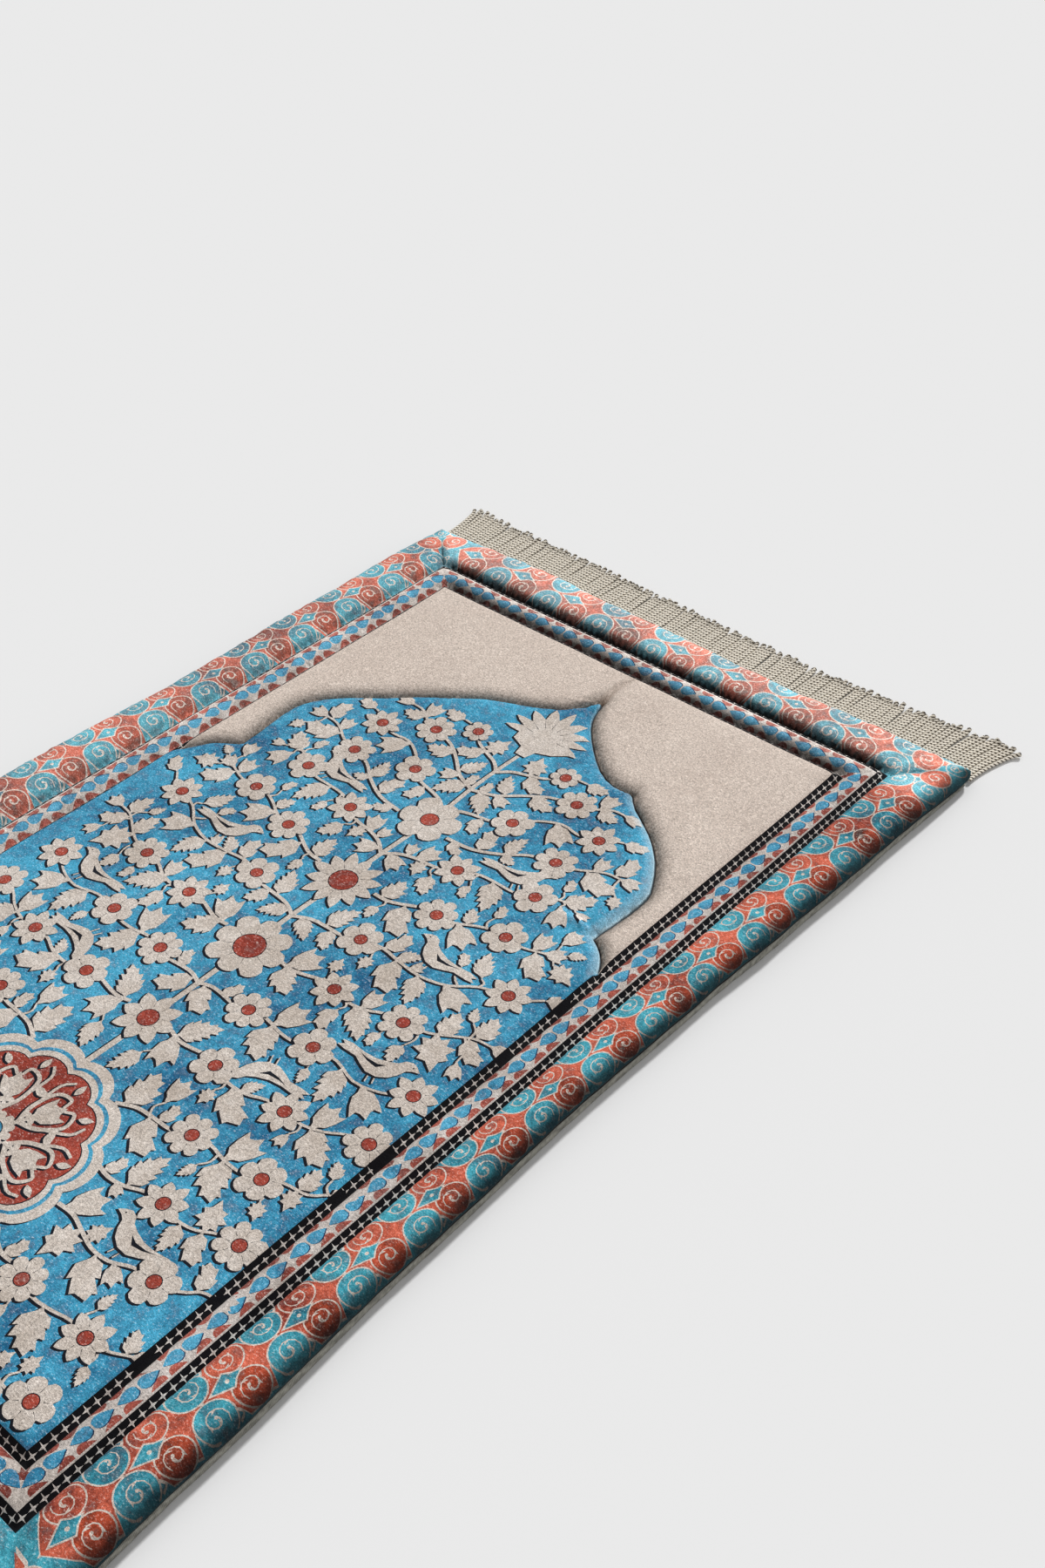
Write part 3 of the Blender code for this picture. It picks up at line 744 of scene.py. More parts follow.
def to_print(outline, hand=1):
    """From (out, down) on one side of the middle line to the flat print."""
    outline = np.asarray(outline, float)
    return np.column_stack([FIELD_MIDDLE + hand * outline[:, 0], HALF_LONG - outline[:, 1]])


def inside(outline, x, y):
    """Whether places lie inside an outline."""
    odd = np.zeros(np.shape(x), bool)
    for (ax, ay), (bx, by) in zip(outline, np.roll(outline, -1, axis=0)):
        if ay != by:
            odd ^= ((ay > y) != (by > y)) & (x < (bx - ax) * (y - ay) / (by - ay) + ax)
    return odd


class Ground:
    """Which cells of one half of the field are already printed, in (out, down)."""

    def __init__(self):
        self.wide, self.long = int(HALF_FIELD / CELL), int(MAT_LENGTH / MM / CELL)
        self.taken = np.zeros((self.wide, self.long), bool)
        out, down = self.places(0, self.wide, 0, self.long)
        for hand in (1, -1):
            spots = to_print(np.column_stack([out.ravel(), down.ravel()]), hand) * MM
            under = inside(arch_outline(), *spots.T)
            close = distance_to(ARCH, *spots.T) < ARCH_CLEAR * MM
            rim = np.minimum(*insets(*spots.T)) < (FIELD_INSET + RIM_CLEAR) * MM
            self.taken |= (~under | close | rim).reshape(out.shape)

    @staticmethod
    def places(left, right, top, bottom):
        """The middles of cells, in (out, down)."""
        return np.meshgrid((np.arange(left, right) + 0.5) * CELL, (np.arange(top, bottom) + 0.5) * CELL,
                           indexing="ij")

    def window(self, outline):
        """The cells round an outline, and which of them it covers."""
        low = np.clip((outline.min(axis=0) / CELL).astype(int), 0, (self.wide - 1, self.long - 1))
        high = np.clip((outline.max(axis=0) / CELL).astype(int) + 2, 1, (self.wide, self.long))
        covered = inside(outline, *self.places(low[0], high[0], low[1], high[1]))
        return (slice(low[0], high[0]), slice(low[1], high[1])), covered

    def free(self, outline):
        """Whether an outline lies on free ground and clear of the middle line."""
        if outline[:, 0].min() < 1.5:
            return False
        spot, covered = self.window(outline)
        return not (self.taken[spot] & covered).any()

    def take(self, outline, margin=2.2):
        """Marks an outline and a margin round it as printed."""
        middle = outline.mean(axis=0)
        away = outline - middle
        reach = np.maximum(np.hypot(*away.T), 1e-6)[:, None]
        spot, covered = self.window(middle + away * (1 + margin / reach))
        self.taken[spot] |= covered


def arch_outline():
    """The arch's seam closed round the field below it, in metres."""
    low = -MAT_LENGTH / 2 + FIELD_INSET * MM
    return np.vstack([ARCH, [(MAT_WIDTH / 2, low), (-MAT_WIDTH / 2, low)]])


# The field's kinds of leaf and bud: the outline, its length and width as shares of the size, and the rest.
LEAVES = ((serrated_leaf, 1, 0.66, 3), (lobed_leaf, 1, 0.84), (serrated_leaf, 1, 0.60, 2, 0.22),
          (serrated_leaf, 1, 0.56, 4, -0.16), (bud, 0.86, 0.62))


def leaf_of(kind, size):
    """A leaf or bud of the given kind and size, along +x."""
    outline, long, wide, *rest = LEAVES[kind % len(LEAVES)]
    return outline(long * size, wide * size, *rest)


def flower_shapes(centre, petals, reach, pointed, heart, turn):
    """A flower's outline, the lines between its petals and its heart, in (out, down)."""
    waist = reach * (0.66 if pointed else 0.74)
    line = np.array([(0.42 * reach, 0.28), (0.97 * waist, 0), (0.42 * reach, -0.28)])
    return ([("motif", turned(flower(petals, reach, waist, pointed), turn, centre))]
            + [("line", turned(line, turn + petal * 2 * np.pi / petals, centre)) for petal in range(petals)]
            + [("line", turned(disc(heart + 0.8, 14), 0, centre)),
               ("heart", turned(disc(heart, 14), 0.2, centre))])


def bowed(stops, number):
    """A branch's stops with one more between each two, set a little to one side."""
    made = [stops[0][:2]]
    for index, (start, end) in enumerate(zip(stops, stops[1:])):
        out, down = end[0] - start[0], end[1] - start[1]
        lean = 0.085 if (index + number) % 2 else -0.085
        made += [(start[0] + out / 2 - lean * down, start[1] + down / 2 + lean * out), end[:2]]
    return made


def along_line(line, run, along):
    """The place so far along a line whose points lie run far along it."""
    return np.array([np.interp(along, run, line[:, 0]), np.interp(along, run, line[:, 1])])


def half_layout():
    """One half of the field: (layer, ink, outline in (out, down)). Layer 1 lies under layer 2."""
    ground, made, stems = Ground(), [], []
    for down, _, reach, _, _ in ROSETTES:
        ground.take(disc(reach + 1.5, 20) + (0, down))
    ground.take(disc(MEDALLION_REACH + 2, 40) + (0, MEDALLION))
    ground.take(palmette()[0][1])
    ground.take(stroke([(0, 270), (0, 800)], 7), 0)

    for number, (stops, ending) in enumerate(BRANCHES):
        stems.append((number, through(bowed(stops, number), 3), ending))
        for centre, (petals, reach, pointed) in [(stop[:2], stop[2]) for stop in stops if len(stop) > 2]:
            turn = 0.7 * number + 0.01 * centre[0]
            shapes = flower_shapes(centre, petals, reach, pointed, 4.6 + 0.05 * reach, turn)
            made += [(2, ink, outline) for ink, outline in shapes]
            ground.take(disc(reach, 14) + centre, 1.6)
    for out, down, degrees, looks in BIRDS:
        legs = [(1, "motif", stroke(leg, 1.3)) for leg in BIRD_LEGS]
        body = len(made)
        for layer, ink, outline in [(2, "motif", BIRD), (2, "line", BIRD_WING), (2, "line", BIRD_EYE)] + legs:
            shape = turned(outline * (looks, -1), math.radians(degrees), (out, down), BIRD_SIZE)
            made.append((layer, ink, shape))
        ground.take(made[body][2], 1.8)
    for number, line, ending in stems:
        made.append((1, "motif", stroke(line, 3.9 - 0.03 * number, 2.1)))
        if ending != "none":
            tip = leaf_of(4 if ending == "bud" else number % 4, 25)
            made.append((1, "motif", turned(tip, heading_of(line[-1] - line[-2]), line[-1])))
            ground.take(made[-1][2])
        for first, last in zip(line, line[1:]):
            ground.take(stroke([first, last], 3.4), 0.6)

    def grow(at, heading, sizes, kind, turns):
        """Adds the largest leaf that finds free ground at a place, if any does."""
        for size in sizes:
            for turn in turns:
                outline = turned(leaf_of(kind, size), heading + turn, at)
                if ground.free(outline[np.hypot(*(outline - at).T) > 5.2]):
                    made.append((1, "motif", outline))
                    return ground.take(outline, 2.6)

    for sizes, spacing in LEAF_ROUNDS:
        for number, line, _ in stems:
            run = np.concatenate([[0], np.cumsum(np.hypot(*np.diff(line, axis=0).T))])
            for index, along in enumerate(np.arange(7, run[-1] - 3, spacing)):
                at = along_line(line, run, along)
                heading = heading_of(at - along_line(line, run, along - 2))
                for hand in ((1, -1) if index % 2 else (-1, 1)):
                    turns = [hand * turn for turn in LEAF_TURNS]
                    grow(at, heading, sizes, index + number * 2 + (hand > 0), turns)
        for index, down in enumerate(np.arange(284, 784, spacing)):
            grow(np.array([0, down]), math.radians(-48), sizes, index, (0, 0.3, -0.3))
    return made + sprigs(ground, np.vstack([line for _, line, _ in stems]))


def sprigs(ground, roots_and_highlight):
    """Short stalks with a leaf or bud that reach from the branches into ground that is still free."""
    made = []
    for size in SPRIG_SIZES:
        for row, down in enumerate(np.arange(262, 1012, SPRIG_STEP)):
            for out in np.arange(9 + SPRIG_STEP / 2 * (row % 2), 252, SPRIG_STEP):
                if ground.taken[int(out / CELL), int(down / CELL)]:
                    continue
                spot = np.array([out, down])
                reach = np.hypot(*(spot - roots_and_highlight).T)
                root = roots_and_highlight[reach.argmin()]
                if not NEAREST_SPRIG < reach.min() < FARTHEST_SPRIG:
                    continue
                kind, away = int(out + down) // 8, spot - root
                outline = turned(leaf_of(kind, size), heading_of(away), spot - size / 2 * away / reach.min())
                if ground.free(outline) and ground.free(turned(disc(0.40 * size, 10), 0, spot)):
                    bend = np.array([-away[1], away[0]]) * 0.12 * (1 if kind % 2 else -1)
                    stalk = stroke(through([root, (root + outline[0]) / 2 + bend, outline[0]], 3), 2.2, 1.5)
                    made += [(1, "motif", stalk), (1, "motif", outline)]
                    ground.take(outline, 3.0)
    return made


def palmette():
    """The fan of pointed petals under the arch's tip, in (out, down) on the middle line."""
    outline, petals = [], 9
    for petal in range(petals):
        for part, reach in ((0.0, 0.62), (0.28, 0.84), (0.5, 1.0), (0.72, 0.84)):
            angle = math.radians(-205 + 230 * (petal + part) / petals)
            tall = 1 + 0.22 * math.cos(angle + math.pi / 2) ** 3
            outline.append((46 * reach * math.cos(angle), 38 * reach * tall * math.sin(angle)))
    outline += [(24, 20), (9, 26), (6, 38), (-6, 38), (-9, 26), (-24, 20)]
    line = [(15, 0.3), (32, 0), (15, -0.3)]
    return [("motif", np.array(outline) + (0, PALMETTE))] + [
        ("line", turned(line, math.radians(-205 + 230 * petal / petals), (0, PALMETTE + 2)))
        for petal in range(1, petals)]


def medallion():
    """The lobed medallion with its scrolls, in (out, down) on the middle line: (layer, ink, outline)."""
    def lobed(reach):
        """A round outline with twelve shallow lobes."""
        angles = np.arange(96) * 2 * np.pi / 96
        return polar(reach * (1 - 0.055 + 0.055 * 1.6 * np.abs(np.sin(6 * angles)) ** 0.7), angles)

    made = [(3, "motif", lobed(MEDALLION_REACH)), (4, "ground", lobed(88)), (5, "motif", lobed(84.5)),
            (6, "line", lobed(79)), (7, "heart", lobed(78))]
    spray = [bud(30, 24) + (30, 0), stroke([(14, 0), (34, 0)], 4, 3)]
    for hand in (1, -1):
        for knots, steps, start, end in ((((22, 0), (34, 12), (54, 18), (64, 8), (57, 2)), 4, 4.4, 2.6),
                                         (((40, 15), (58, 26), (70, 24)), 3, 3.0, 2.4)):
            spray.append(stroke(through(np.array(knots) * (1, hand), steps), start, end))
        for (out, up), size, heading in (((66, 13), 13, 0.5), ((44, 19), 15, 1.9), ((30, 8), 11, -1.4)):
            spray.append(turned(plain_leaf(size, 0.56 * size), heading * hand, (out, up * hand)))
    made += [(8, "motif", turned(shape, arm * math.pi / 3)) for arm in range(6) for shape in spray]
    made += [(9, "motif", flower(12, 20, 15, False)), (10, "line", disc(10.6, 20)),
             (11, "ground", disc(9.8, 20)), (12, "motif", flower(6, 6, 3, True))]
    return moved(made, (0, MEDALLION))


SHADOW = (-0.7, -1.9)            # how far the print's dark line falls from a motif's edge, in mm
SHADOW_MARGIN = 0.55             # and how much larger than the motif it is on each side


def shadow_of(outline):
    """A motif's dark line: its outline, a little larger, set to one side."""
    left = beside(np.roll(outline, -1, axis=0) - np.roll(outline, 1, axis=0))
    return outline - left * SHADOW_MARGIN * facing(outline) + SHADOW


def facing(outline):
    """1 where an outline runs anticlockwise, else -1."""
    x, y = outline.T
    return 1 if (x * np.roll(y, -1) - np.roll(x, -1) * y).sum() > 0 else -1


FIELD_RANK, UPPER_RANK, MEDALLION_RANK = 20, 24, 30     # above all of the borders' ranks


def field_shapes():
    """Every shape of the field, placed on the flat print."""
    made = []

    def add(rank, ink, outline, hand=1, shadow=True):
        spots = to_print(outline, hand)
        if shadow and ink == "motif":
            made.append((rank, "line", shadow_of(spots)))
        made.append((rank + 1, ink, spots))

    trunk = through([(0, 268), (-1.5, 330), (1.5, 400), (-1, 560), (1, 700), (0, 800)], 5)
    add(FIELD_RANK, "motif", stroke(trunk, 4.0, 5.6))
    for layer, ink, outline in half_layout():
        rank = (FIELD_RANK if layer == 1 else UPPER_RANK) + {"motif": 0, "line": 1, "heart": 2}[ink]
        for hand in (1, -1):
            add(rank, ink, outline, hand)
    rosettes = [flower_shapes((0, down), *rosette, 0.3) for down, *rosette in ROSETTES]
    for ink, outline in sum(rosettes, palmette()):
        add(UPPER_RANK + {"motif": 0, "line": 2, "heart": 4}[ink], ink, outline)
    for layer, ink, outline in medallion():
        add(MEDALLION_RANK + 2 * layer, ink, outline, shadow=layer in (3, 8, 9))
    return made


# ---------------------------------------------------------------- the face's mesh

# Insets of the rings that carry the borders' and the field's slopes, and of the lines that the mesh keeps.
GRID_ROLL = (1.8, 3, 4.6, 7.5, 11, 15, 20, 26, 32, 38, 43.5, 48.5, 51.5, 53.5, 55.4, 56.6, 57.6, 58.6)
GRID_CHANNEL = (62.0, 65.0, 66.4, 68.8, 70.6, 74.5, 79, 82.5, 85.4, 87.0, 88.0, 89.0)
GRID_FIELD = (92.6, 95.2, 96.4, 98.8, 101, 106, 112)
GRID_STEP = 7.5                  # from place to place along a ring
SEAM_ROWS = (1.2, 3, 5.5, 9, 14, 20)             # rows on both sides of the arch's and the stem's seam
CREASES = (BAND_OUTER[0], OUTER_BORDER / MM, BAND_OUTER[1], BAND_INNER[0],
           (OUTER_BORDER + INNER_BORDER) / MM, BAND_INNER[1])
MERGE = 3.2                      # loose places that share a cell of this size with a kept place are left out
TOUCH = 2e-3                     # places closer than this become one


def rectangle(inset, step):
    """Places round the mat at one inset, about a step apart, anticlockwise."""
    corners = np.array([(-1, -1), (1, -1), (1, 1), (-1, 1)]) * (HALF_MM - inset)
    made = []
    for start, end in zip(corners, np.roll(corners, -1, axis=0)):
        count = max(2, round(np.hypot(*(end - start)) / step))
        made.append(start + (end - start) * (np.arange(count) / count)[:, None])
    return np.vstack(made)


def face_grid():
    """The seams and creases as (line, whether it closes), and loose places that carry the shape between."""
    loops = [rectangle(inset, GRID_STEP) for inset in (0,) + CREASES]
    loose = [rectangle(inset, GRID_STEP) for inset in GRID_ROLL + GRID_CHANNEL + GRID_FIELD]
    chain = [place for place in ARCH / MM if (np.abs(place) < HALF_MM - FIELD_INSET - 0.5).all()]
    seams = [through(chain, 2), STEM / MM]
    for line in seams:
        left = beside(np.gradient(line, axis=0))
        loose += [line + left * hand * offset for offset in SEAM_ROWS for hand in (1, -1)]

    # The four mitres.
    down = np.arange(14, 96, 2.4)[:, None]
    for side_way, side in (((1, 0), 1), ((0, 1), 1), ((1, 0), 2.6), ((0, 1), 2.6), ((0, 0), 0)):
        spots = HALF_MM - down - np.multiply(side_way, side)
        loose += [spots * (one, other) for one in (1, -1) for other in (1, -1)]

    # The field, and the fans of puckers.
    across = np.arange(-250, 250, 9.0)
    for row, y in enumerate(np.arange(-456, 456, 8.0)):
        loose.append(np.column_stack([across + 4.5 * (row % 2), np.full(len(across), y)]))
    gx, gy = np.meshgrid(*[np.arange(-32, 33, 3.2)] * 2)
    for place, degrees, _ in PUCKERS:
        fan = off_heading(gx, gy, math.radians(degrees)) < 1.1
        loose.append(np.column_stack([gx[fan], gy[fan]]) + place / MM)
    loose = np.vstack(loose)
    on_mat = (np.abs(loose) < HALF_MM - 1.5).all(axis=1)
    clear = np.minimum(*[distance_to(seam, *loose.T * MM) for seam in (ARCH, STEM)]) > 1.0 * MM
    return [(loop, True) for loop in loops] + [(line, False) for line in seams], loose[on_mat & clear]


def numbered(lines, count):
    """The places of lines and the edges along them, with their places numbered from count."""
    places, edges = [], []
    for line, closed in lines:
        number = count + np.arange(len(line))
        last = len(line) - (not closed)
        edges += np.column_stack([number, np.roll(number, -1)])[:last].tolist()
        places.append(line)
        count += len(line)
    return places, edges


def triangulated(places, edges, outlines, sources):
    """A flat mesh that keeps the edges and outlines, and which outlines lie over each triangle."""
    found, _, triangles, _, _, over = delaunay_2d_cdt(np.vstack(places).tolist(), edges, outlines, 0, TOUCH,
                                                      sources)
    return np.array([tuple(place) for place in found]), np.array(triangles), over


def drawn_print(sizes):
    """The print with all its outlines: places in mm, triangles, and the ink of each triangle."""
    places, edges = numbered(face_grid()[0], 0)
    count = sum(map(len, places))
    shapes = border_shapes(sizes) + field_shapes()
    outlines = []
    for _, _, outline in shapes:
        outlines.append(list(range(count, count + len(outline))))
        places.append(outline if facing(outline) > 0 else outline[::-1])
        count += len(outline)
    found, triangles, over = triangulated(places, edges, outlines, True)
    ink = ground_inks(found[triangles].mean(axis=1))
    for index, origin in enumerate(over):
        if origin:
            rank, name, _ = shapes[max(origin, key=lambda source: (shapes[source][0], source))]
            ink[index] = allowed(ink[index], INK[name], rank)
    return found, triangles, ink


def flat_print(sizes):
    """The print again with only the lines where its ink changes or a seam runs, over an even grid."""
    drawn, parts, ink = drawn_print(sizes)
    pairs = np.sort(np.vstack([parts[:, [0, 1]], parts[:, [1, 2]], parts[:, [2, 0]]]), axis=1)
    order = np.lexsort(pairs.T)
    pairs, owner = pairs[order], np.tile(np.arange(len(parts)), 3)[order]
    shared = (pairs[1:] == pairs[:-1]).all(axis=1)
    kept = pairs[1:][shared & (ink[owner[1:]] != ink[owner[:-1]])]
    used = np.unique(kept)

    lines, loose = face_grid()
    places, edges = numbered(lines, len(used))
    places = [drawn[used]] + places
    edges = np.searchsorted(used, kept).tolist() + edges
    crowded = {tuple(cell) for cell in np.round(np.vstack(places) / MERGE).astype(int)}
    places.append([spot for spot in loose if tuple(np.round(spot / MERGE).astype(int)) not in crowded])
    found, triangles, _ = triangulated(places, edges, [], False)

    flat = BVHTree.FromPolygons(np.column_stack([drawn, np.zeros(len(drawn))]).tolist(), parts.tolist())
    under = [flat.ray_cast((x, y, 1.0), (0, 0, -1))[2] for x, y in found[triangles].mean(axis=1)]
    return found, triangles, np.array([ink[part] if part is not None else INK["turned"] for part in under])


# What each border ink prints on; the rest of the borders' inks print on the outer border.
OWN_GROUND = {"star": "band", "drop": "channel", "drop_edge": "channel", "half_drop": "channel"}


def allowed(ground, ink, rank):
    """A shape prints only on its own part of the rug."""
    own = "ground" if rank >= FIELD_RANK else OWN_GROUND.get(INKS[ink][0], "scroll")
    return ink if INKS[ground][0] == own else ground


def ground_inks(middles):
    """The ink under each place before any shape is printed."""
    across, along = insets(*(middles.T * MM))
    inset = np.minimum(across, along) / MM
    ink = np.where(inside(arch_outline() / MM, *middles.T), INK["ground"], INK["spandrel"])
    for limit, name in ((BAND_INNER[1], "band"), (BAND_INNER[0], "channel"), (BAND_OUTER[1], "band"),
                        (BAND_OUTER[0], "scroll")):
        ink[inset < limit] = INK[name]
    return ink


def added(name, data):
    """A new object in the scene."""
    made = bpy.data.objects.new(name, data)
    bpy.context.scene.collection.objects.link(made)
    return made


def new_piece(name, points, faces, material):
    """A mesh object at the origin with smooth faces."""
    mesh = bpy.data.meshes.new(name)
    mesh.from_pydata(np.asarray(points).tolist(), [], faces)
    mesh.shade_smooth()
    mesh.materials.append(material)
    return added(name, mesh)


def store(piece, name, domain, values):
    """Keeps one number for each point or face under a name that the material reads."""
    kept = piece.data.attributes.new(name, "FLOAT", domain)
    kept.data.foreach_set("value", np.asarray(values, np.float32))


ON_EDGE = 1e-5                   # places closer than this to the mat's edge lie on it


def at_edge(places):
    """1 or -1 for each place and axis that lies on the mat's edge, and 0 elsewhere."""
    return np.sign(places) * (np.abs(places) > HALF - ON_EDGE)


def ring_below(edge, inset, heights):
    """The edge's places (m) set in by an inset, at the given heights."""
    x, y = drawn_to_corner(*(edge * (HALF - inset) / HALF).T)
    return np.column_stack([*drawn_in(x, y), heights])


def bridge(first, second):
    """Faces between two closed loops of point numbers."""
    return list(zip(first, np.roll(first, -1), np.roll(second, -1), second))


def round_the_edge(places):
    """How far round the mat's edge places lie, anticlockwise from the foot's left corner."""
    x, y = (places + HALF).T
    back = np.where(y > MAT_LENGTH - ON_EDGE, 2 * MAT_WIDTH + MAT_LENGTH - x,
                    2 * MAT_LENGTH + 2 * MAT_WIDTH - y)
    return np.where(y < ON_EDGE, x, np.where(x > MAT_WIDTH - ON_EDGE, MAT_WIDTH + y, back))


def make_face(sizes, material):
    """The printed pile face over its filling, closed under the roll to a flat underside."""
    found, triangles, ink = flat_print(sizes)
    places = found * MM
    points = on_face(*places.T)
    on_edge = np.flatnonzero(at_edge(places).any(axis=1))
    loop = on_edge[np.argsort(round_the_edge(places[on_edge]))]
    edge = places[loop]
    seam = seam_height(*drawn_to_corner(*edge.T))
    faces, inks = triangles.tolist(), ink.tolist()
    beyond = {tuple(sorted(pair)): ink for face, ink in zip(faces, inks)
              for pair in zip(face, face[1:] + face[:1])}
    above = [beyond[tuple(sorted(pair))] for pair in zip(loop.tolist(), np.roll(loop, -1).tolist())]

    # Rings under the roll: the print runs on over it, ends in a black lip and goes up behind the backing.
    across, along = insets(*edge.T)
    near = corner_nearness(*edge.T, 12 * MM)
    tuck = seam - TUCK * (along > across) * (1 - near)
    turned_in = [INK["turned"]] * len(loop)
    lip = [INK["turned"] if corner < 0.2 else own for corner, own in zip(near, above)]
    for inset, heights, row in ((0.1 * SEAM_INSET, seam + 0.7 * EDGE_TURN, above),
                                (0.25 * SEAM_INSET, seam + 0.5 * EDGE_TURN, lip),
                                (0.7 * SEAM_INSET, seam + 0.16 * EDGE_TURN, lip),
                                (0.9 * SEAM_INSET, seam, turned_in), (SEAM_INSET, tuck, turned_in),
                                (MAT_WALL, tuck - 0.1 * MM, turned_in),
                                (MAT_WALL + 0.5 * MM, np.full(len(seam), CLOTH + GAP), turned_in)):
        below = np.arange(len(loop)) + len(points)
        points = np.vstack([points, ring_below(edge, inset, heights)])
        places = np.vstack([places, edge])
        faces += bridge(below.tolist(), loop.tolist())
        inks += row
        loop = below
    faces.append(loop[::-1].tolist())
    inks.append(INK["spandrel"])

    piece = new_piece("printed_mat", points, faces, material)
    x, y = places.T
    side_of_arch = np.where(inside(arch_outline(), x, y), -1, 1)
    store(piece, "ink", "FACE", (np.array(inks) + 0.5) / len(INKS))
    # The painted shade and painted highlight are kept on the points for the material, with the seams'
    # distances.
    for name, values in (("from_arch", side_of_arch * np.minimum(distance_to(ARCH, x, y), 0.1)),
                         ("from_stem", np.minimum(distance_to(STEM, x, y), 0.1)),
                         ("nap", nap(x, y)), ("wash", wash(x, y)),
                         ("inset", np.clip(np.minimum(*insets(x, y)), 0, 0.2))):
        store(piece, name, "POINT", values)
    return piece


# ---------------------------------------------------------------- materials

class Nodes:
    """A node tree, built step by step."""

    def __init__(self, tree):
        self.tree = tree

    def node(self, kind, inputs=(), **settings):
        """A new node. inputs has the values of its sockets, in their order or under their names."""
        made = self.tree.nodes.new(kind)
        for name, value in settings.items():
            setattr(made, name, value)
        for name, value in inputs.items() if isinstance(inputs, dict) else enumerate(inputs):
            self.give(made.inputs[name], value)
        return made

    def give(self, socket, value):
        """Sets a socket, or links it where the value is another node's socket."""
        if isinstance(value, bpy.types.NodeSocket):
            self.tree.links.new(value, socket)
        else:
            socket.default_value = value

    def calc(self, operation, *values, clamp=False):
        """One step of arithmetic."""
        return self.node("ShaderNodeMath", values, operation=operation, use_clamp=clamp).outputs[0]

    def times(self, first, second, plus=None, clamp=False):
        """first x second, and plus added to it where it is given."""
        if plus is None:
            return self.calc("MULTIPLY", first, second, clamp=clamp)
        return self.calc("MULTIPLY_ADD", first, second, plus, clamp=clamp)


class Shade(Nodes):
    """A material's nodes."""

    def __init__(self, name):
        self.material = bpy.data.materials.new(name)
        self.material.use_nodes = True
        super().__init__(self.material.node_tree)
        self.shader = self.tree.nodes["Principled BSDF"]
        self.place = self.node("ShaderNodeTexCoord").outputs["Object"]

    def span(self, value, low, high, to_low=0.0, to_high=1.0):
        """value between low and high as a share from to_low to to_high."""
        return self.node("ShaderNodeMapRange", (value, low, high, to_low, to_high), clamp=True).outputs[0]

    def mix(self, factor, first, second, blend="MIX"):
        """A mix of two colours."""
        values = {"Factor": factor, "A": first, "B": second}
        return self.node("ShaderNodeMix", data_type="RGBA", blend_type=blend, inputs=values).outputs["Result"]

    def noise(self, scale, detail=2.0, stretch=(1, 1, 1), roughness=0.5):
        """Noise over the object's own places."""
        place = self.node("ShaderNodeMapping", {"Vector": self.place, "Scale": stretch}).outputs[0]
        values = {"Vector": place, "Scale": scale, "Detail": detail, "Roughness": roughness}
        return self.node("ShaderNodeTexNoise", values).outputs["Fac"]

    def kept(self, name, output="Fac"):
        """A value that the mesh keeps under a name."""
        return self.node("ShaderNodeAttribute", attribute_name=name).outputs[output]

    def parts(self, vector):
        """The x, y and z of a vector."""
        return self.node("ShaderNodeSeparateXYZ", (vector,)).outputs

    def steps(self, factor, tones):
        """A ramp of flat steps, one for each tone."""
        made = self.node("ShaderNodeValToRGB", (factor,))
        ramp = made.color_ramp
        ramp.interpolation = "CONSTANT"
        ramp.elements.remove(ramp.elements[-1])
        ramp.elements[0].position = 0
        ramp.elements[0].color = (*tones[0], 1)
        for index, tone in enumerate(tones[1:], 1):
            ramp.elements.new(index / len(tones)).color = (*tone, 1)
        return made.outputs["Color"]

    def bump(self, height, distance):
        """A normal that follows a height."""
        values = {"Strength": 0.6, "Distance": distance, "Height": height}
        return self.node("ShaderNodeBump", values).outputs["Normal"]

    def finish(self, **values):
        """Sets the shader's inputs, named with _ for a space, and returns the material."""
        for name, value in values.items():
            self.give(self.shader.inputs[name.replace("_", " ")], value)
        return self.material


def solid(tone):
    """A colour of 0 to 255 as a socket's value."""
    return (*linear(tone), 1)


SHEEN_ROUGHNESS = 0.6            # alike on the pile, the cloth and the cords


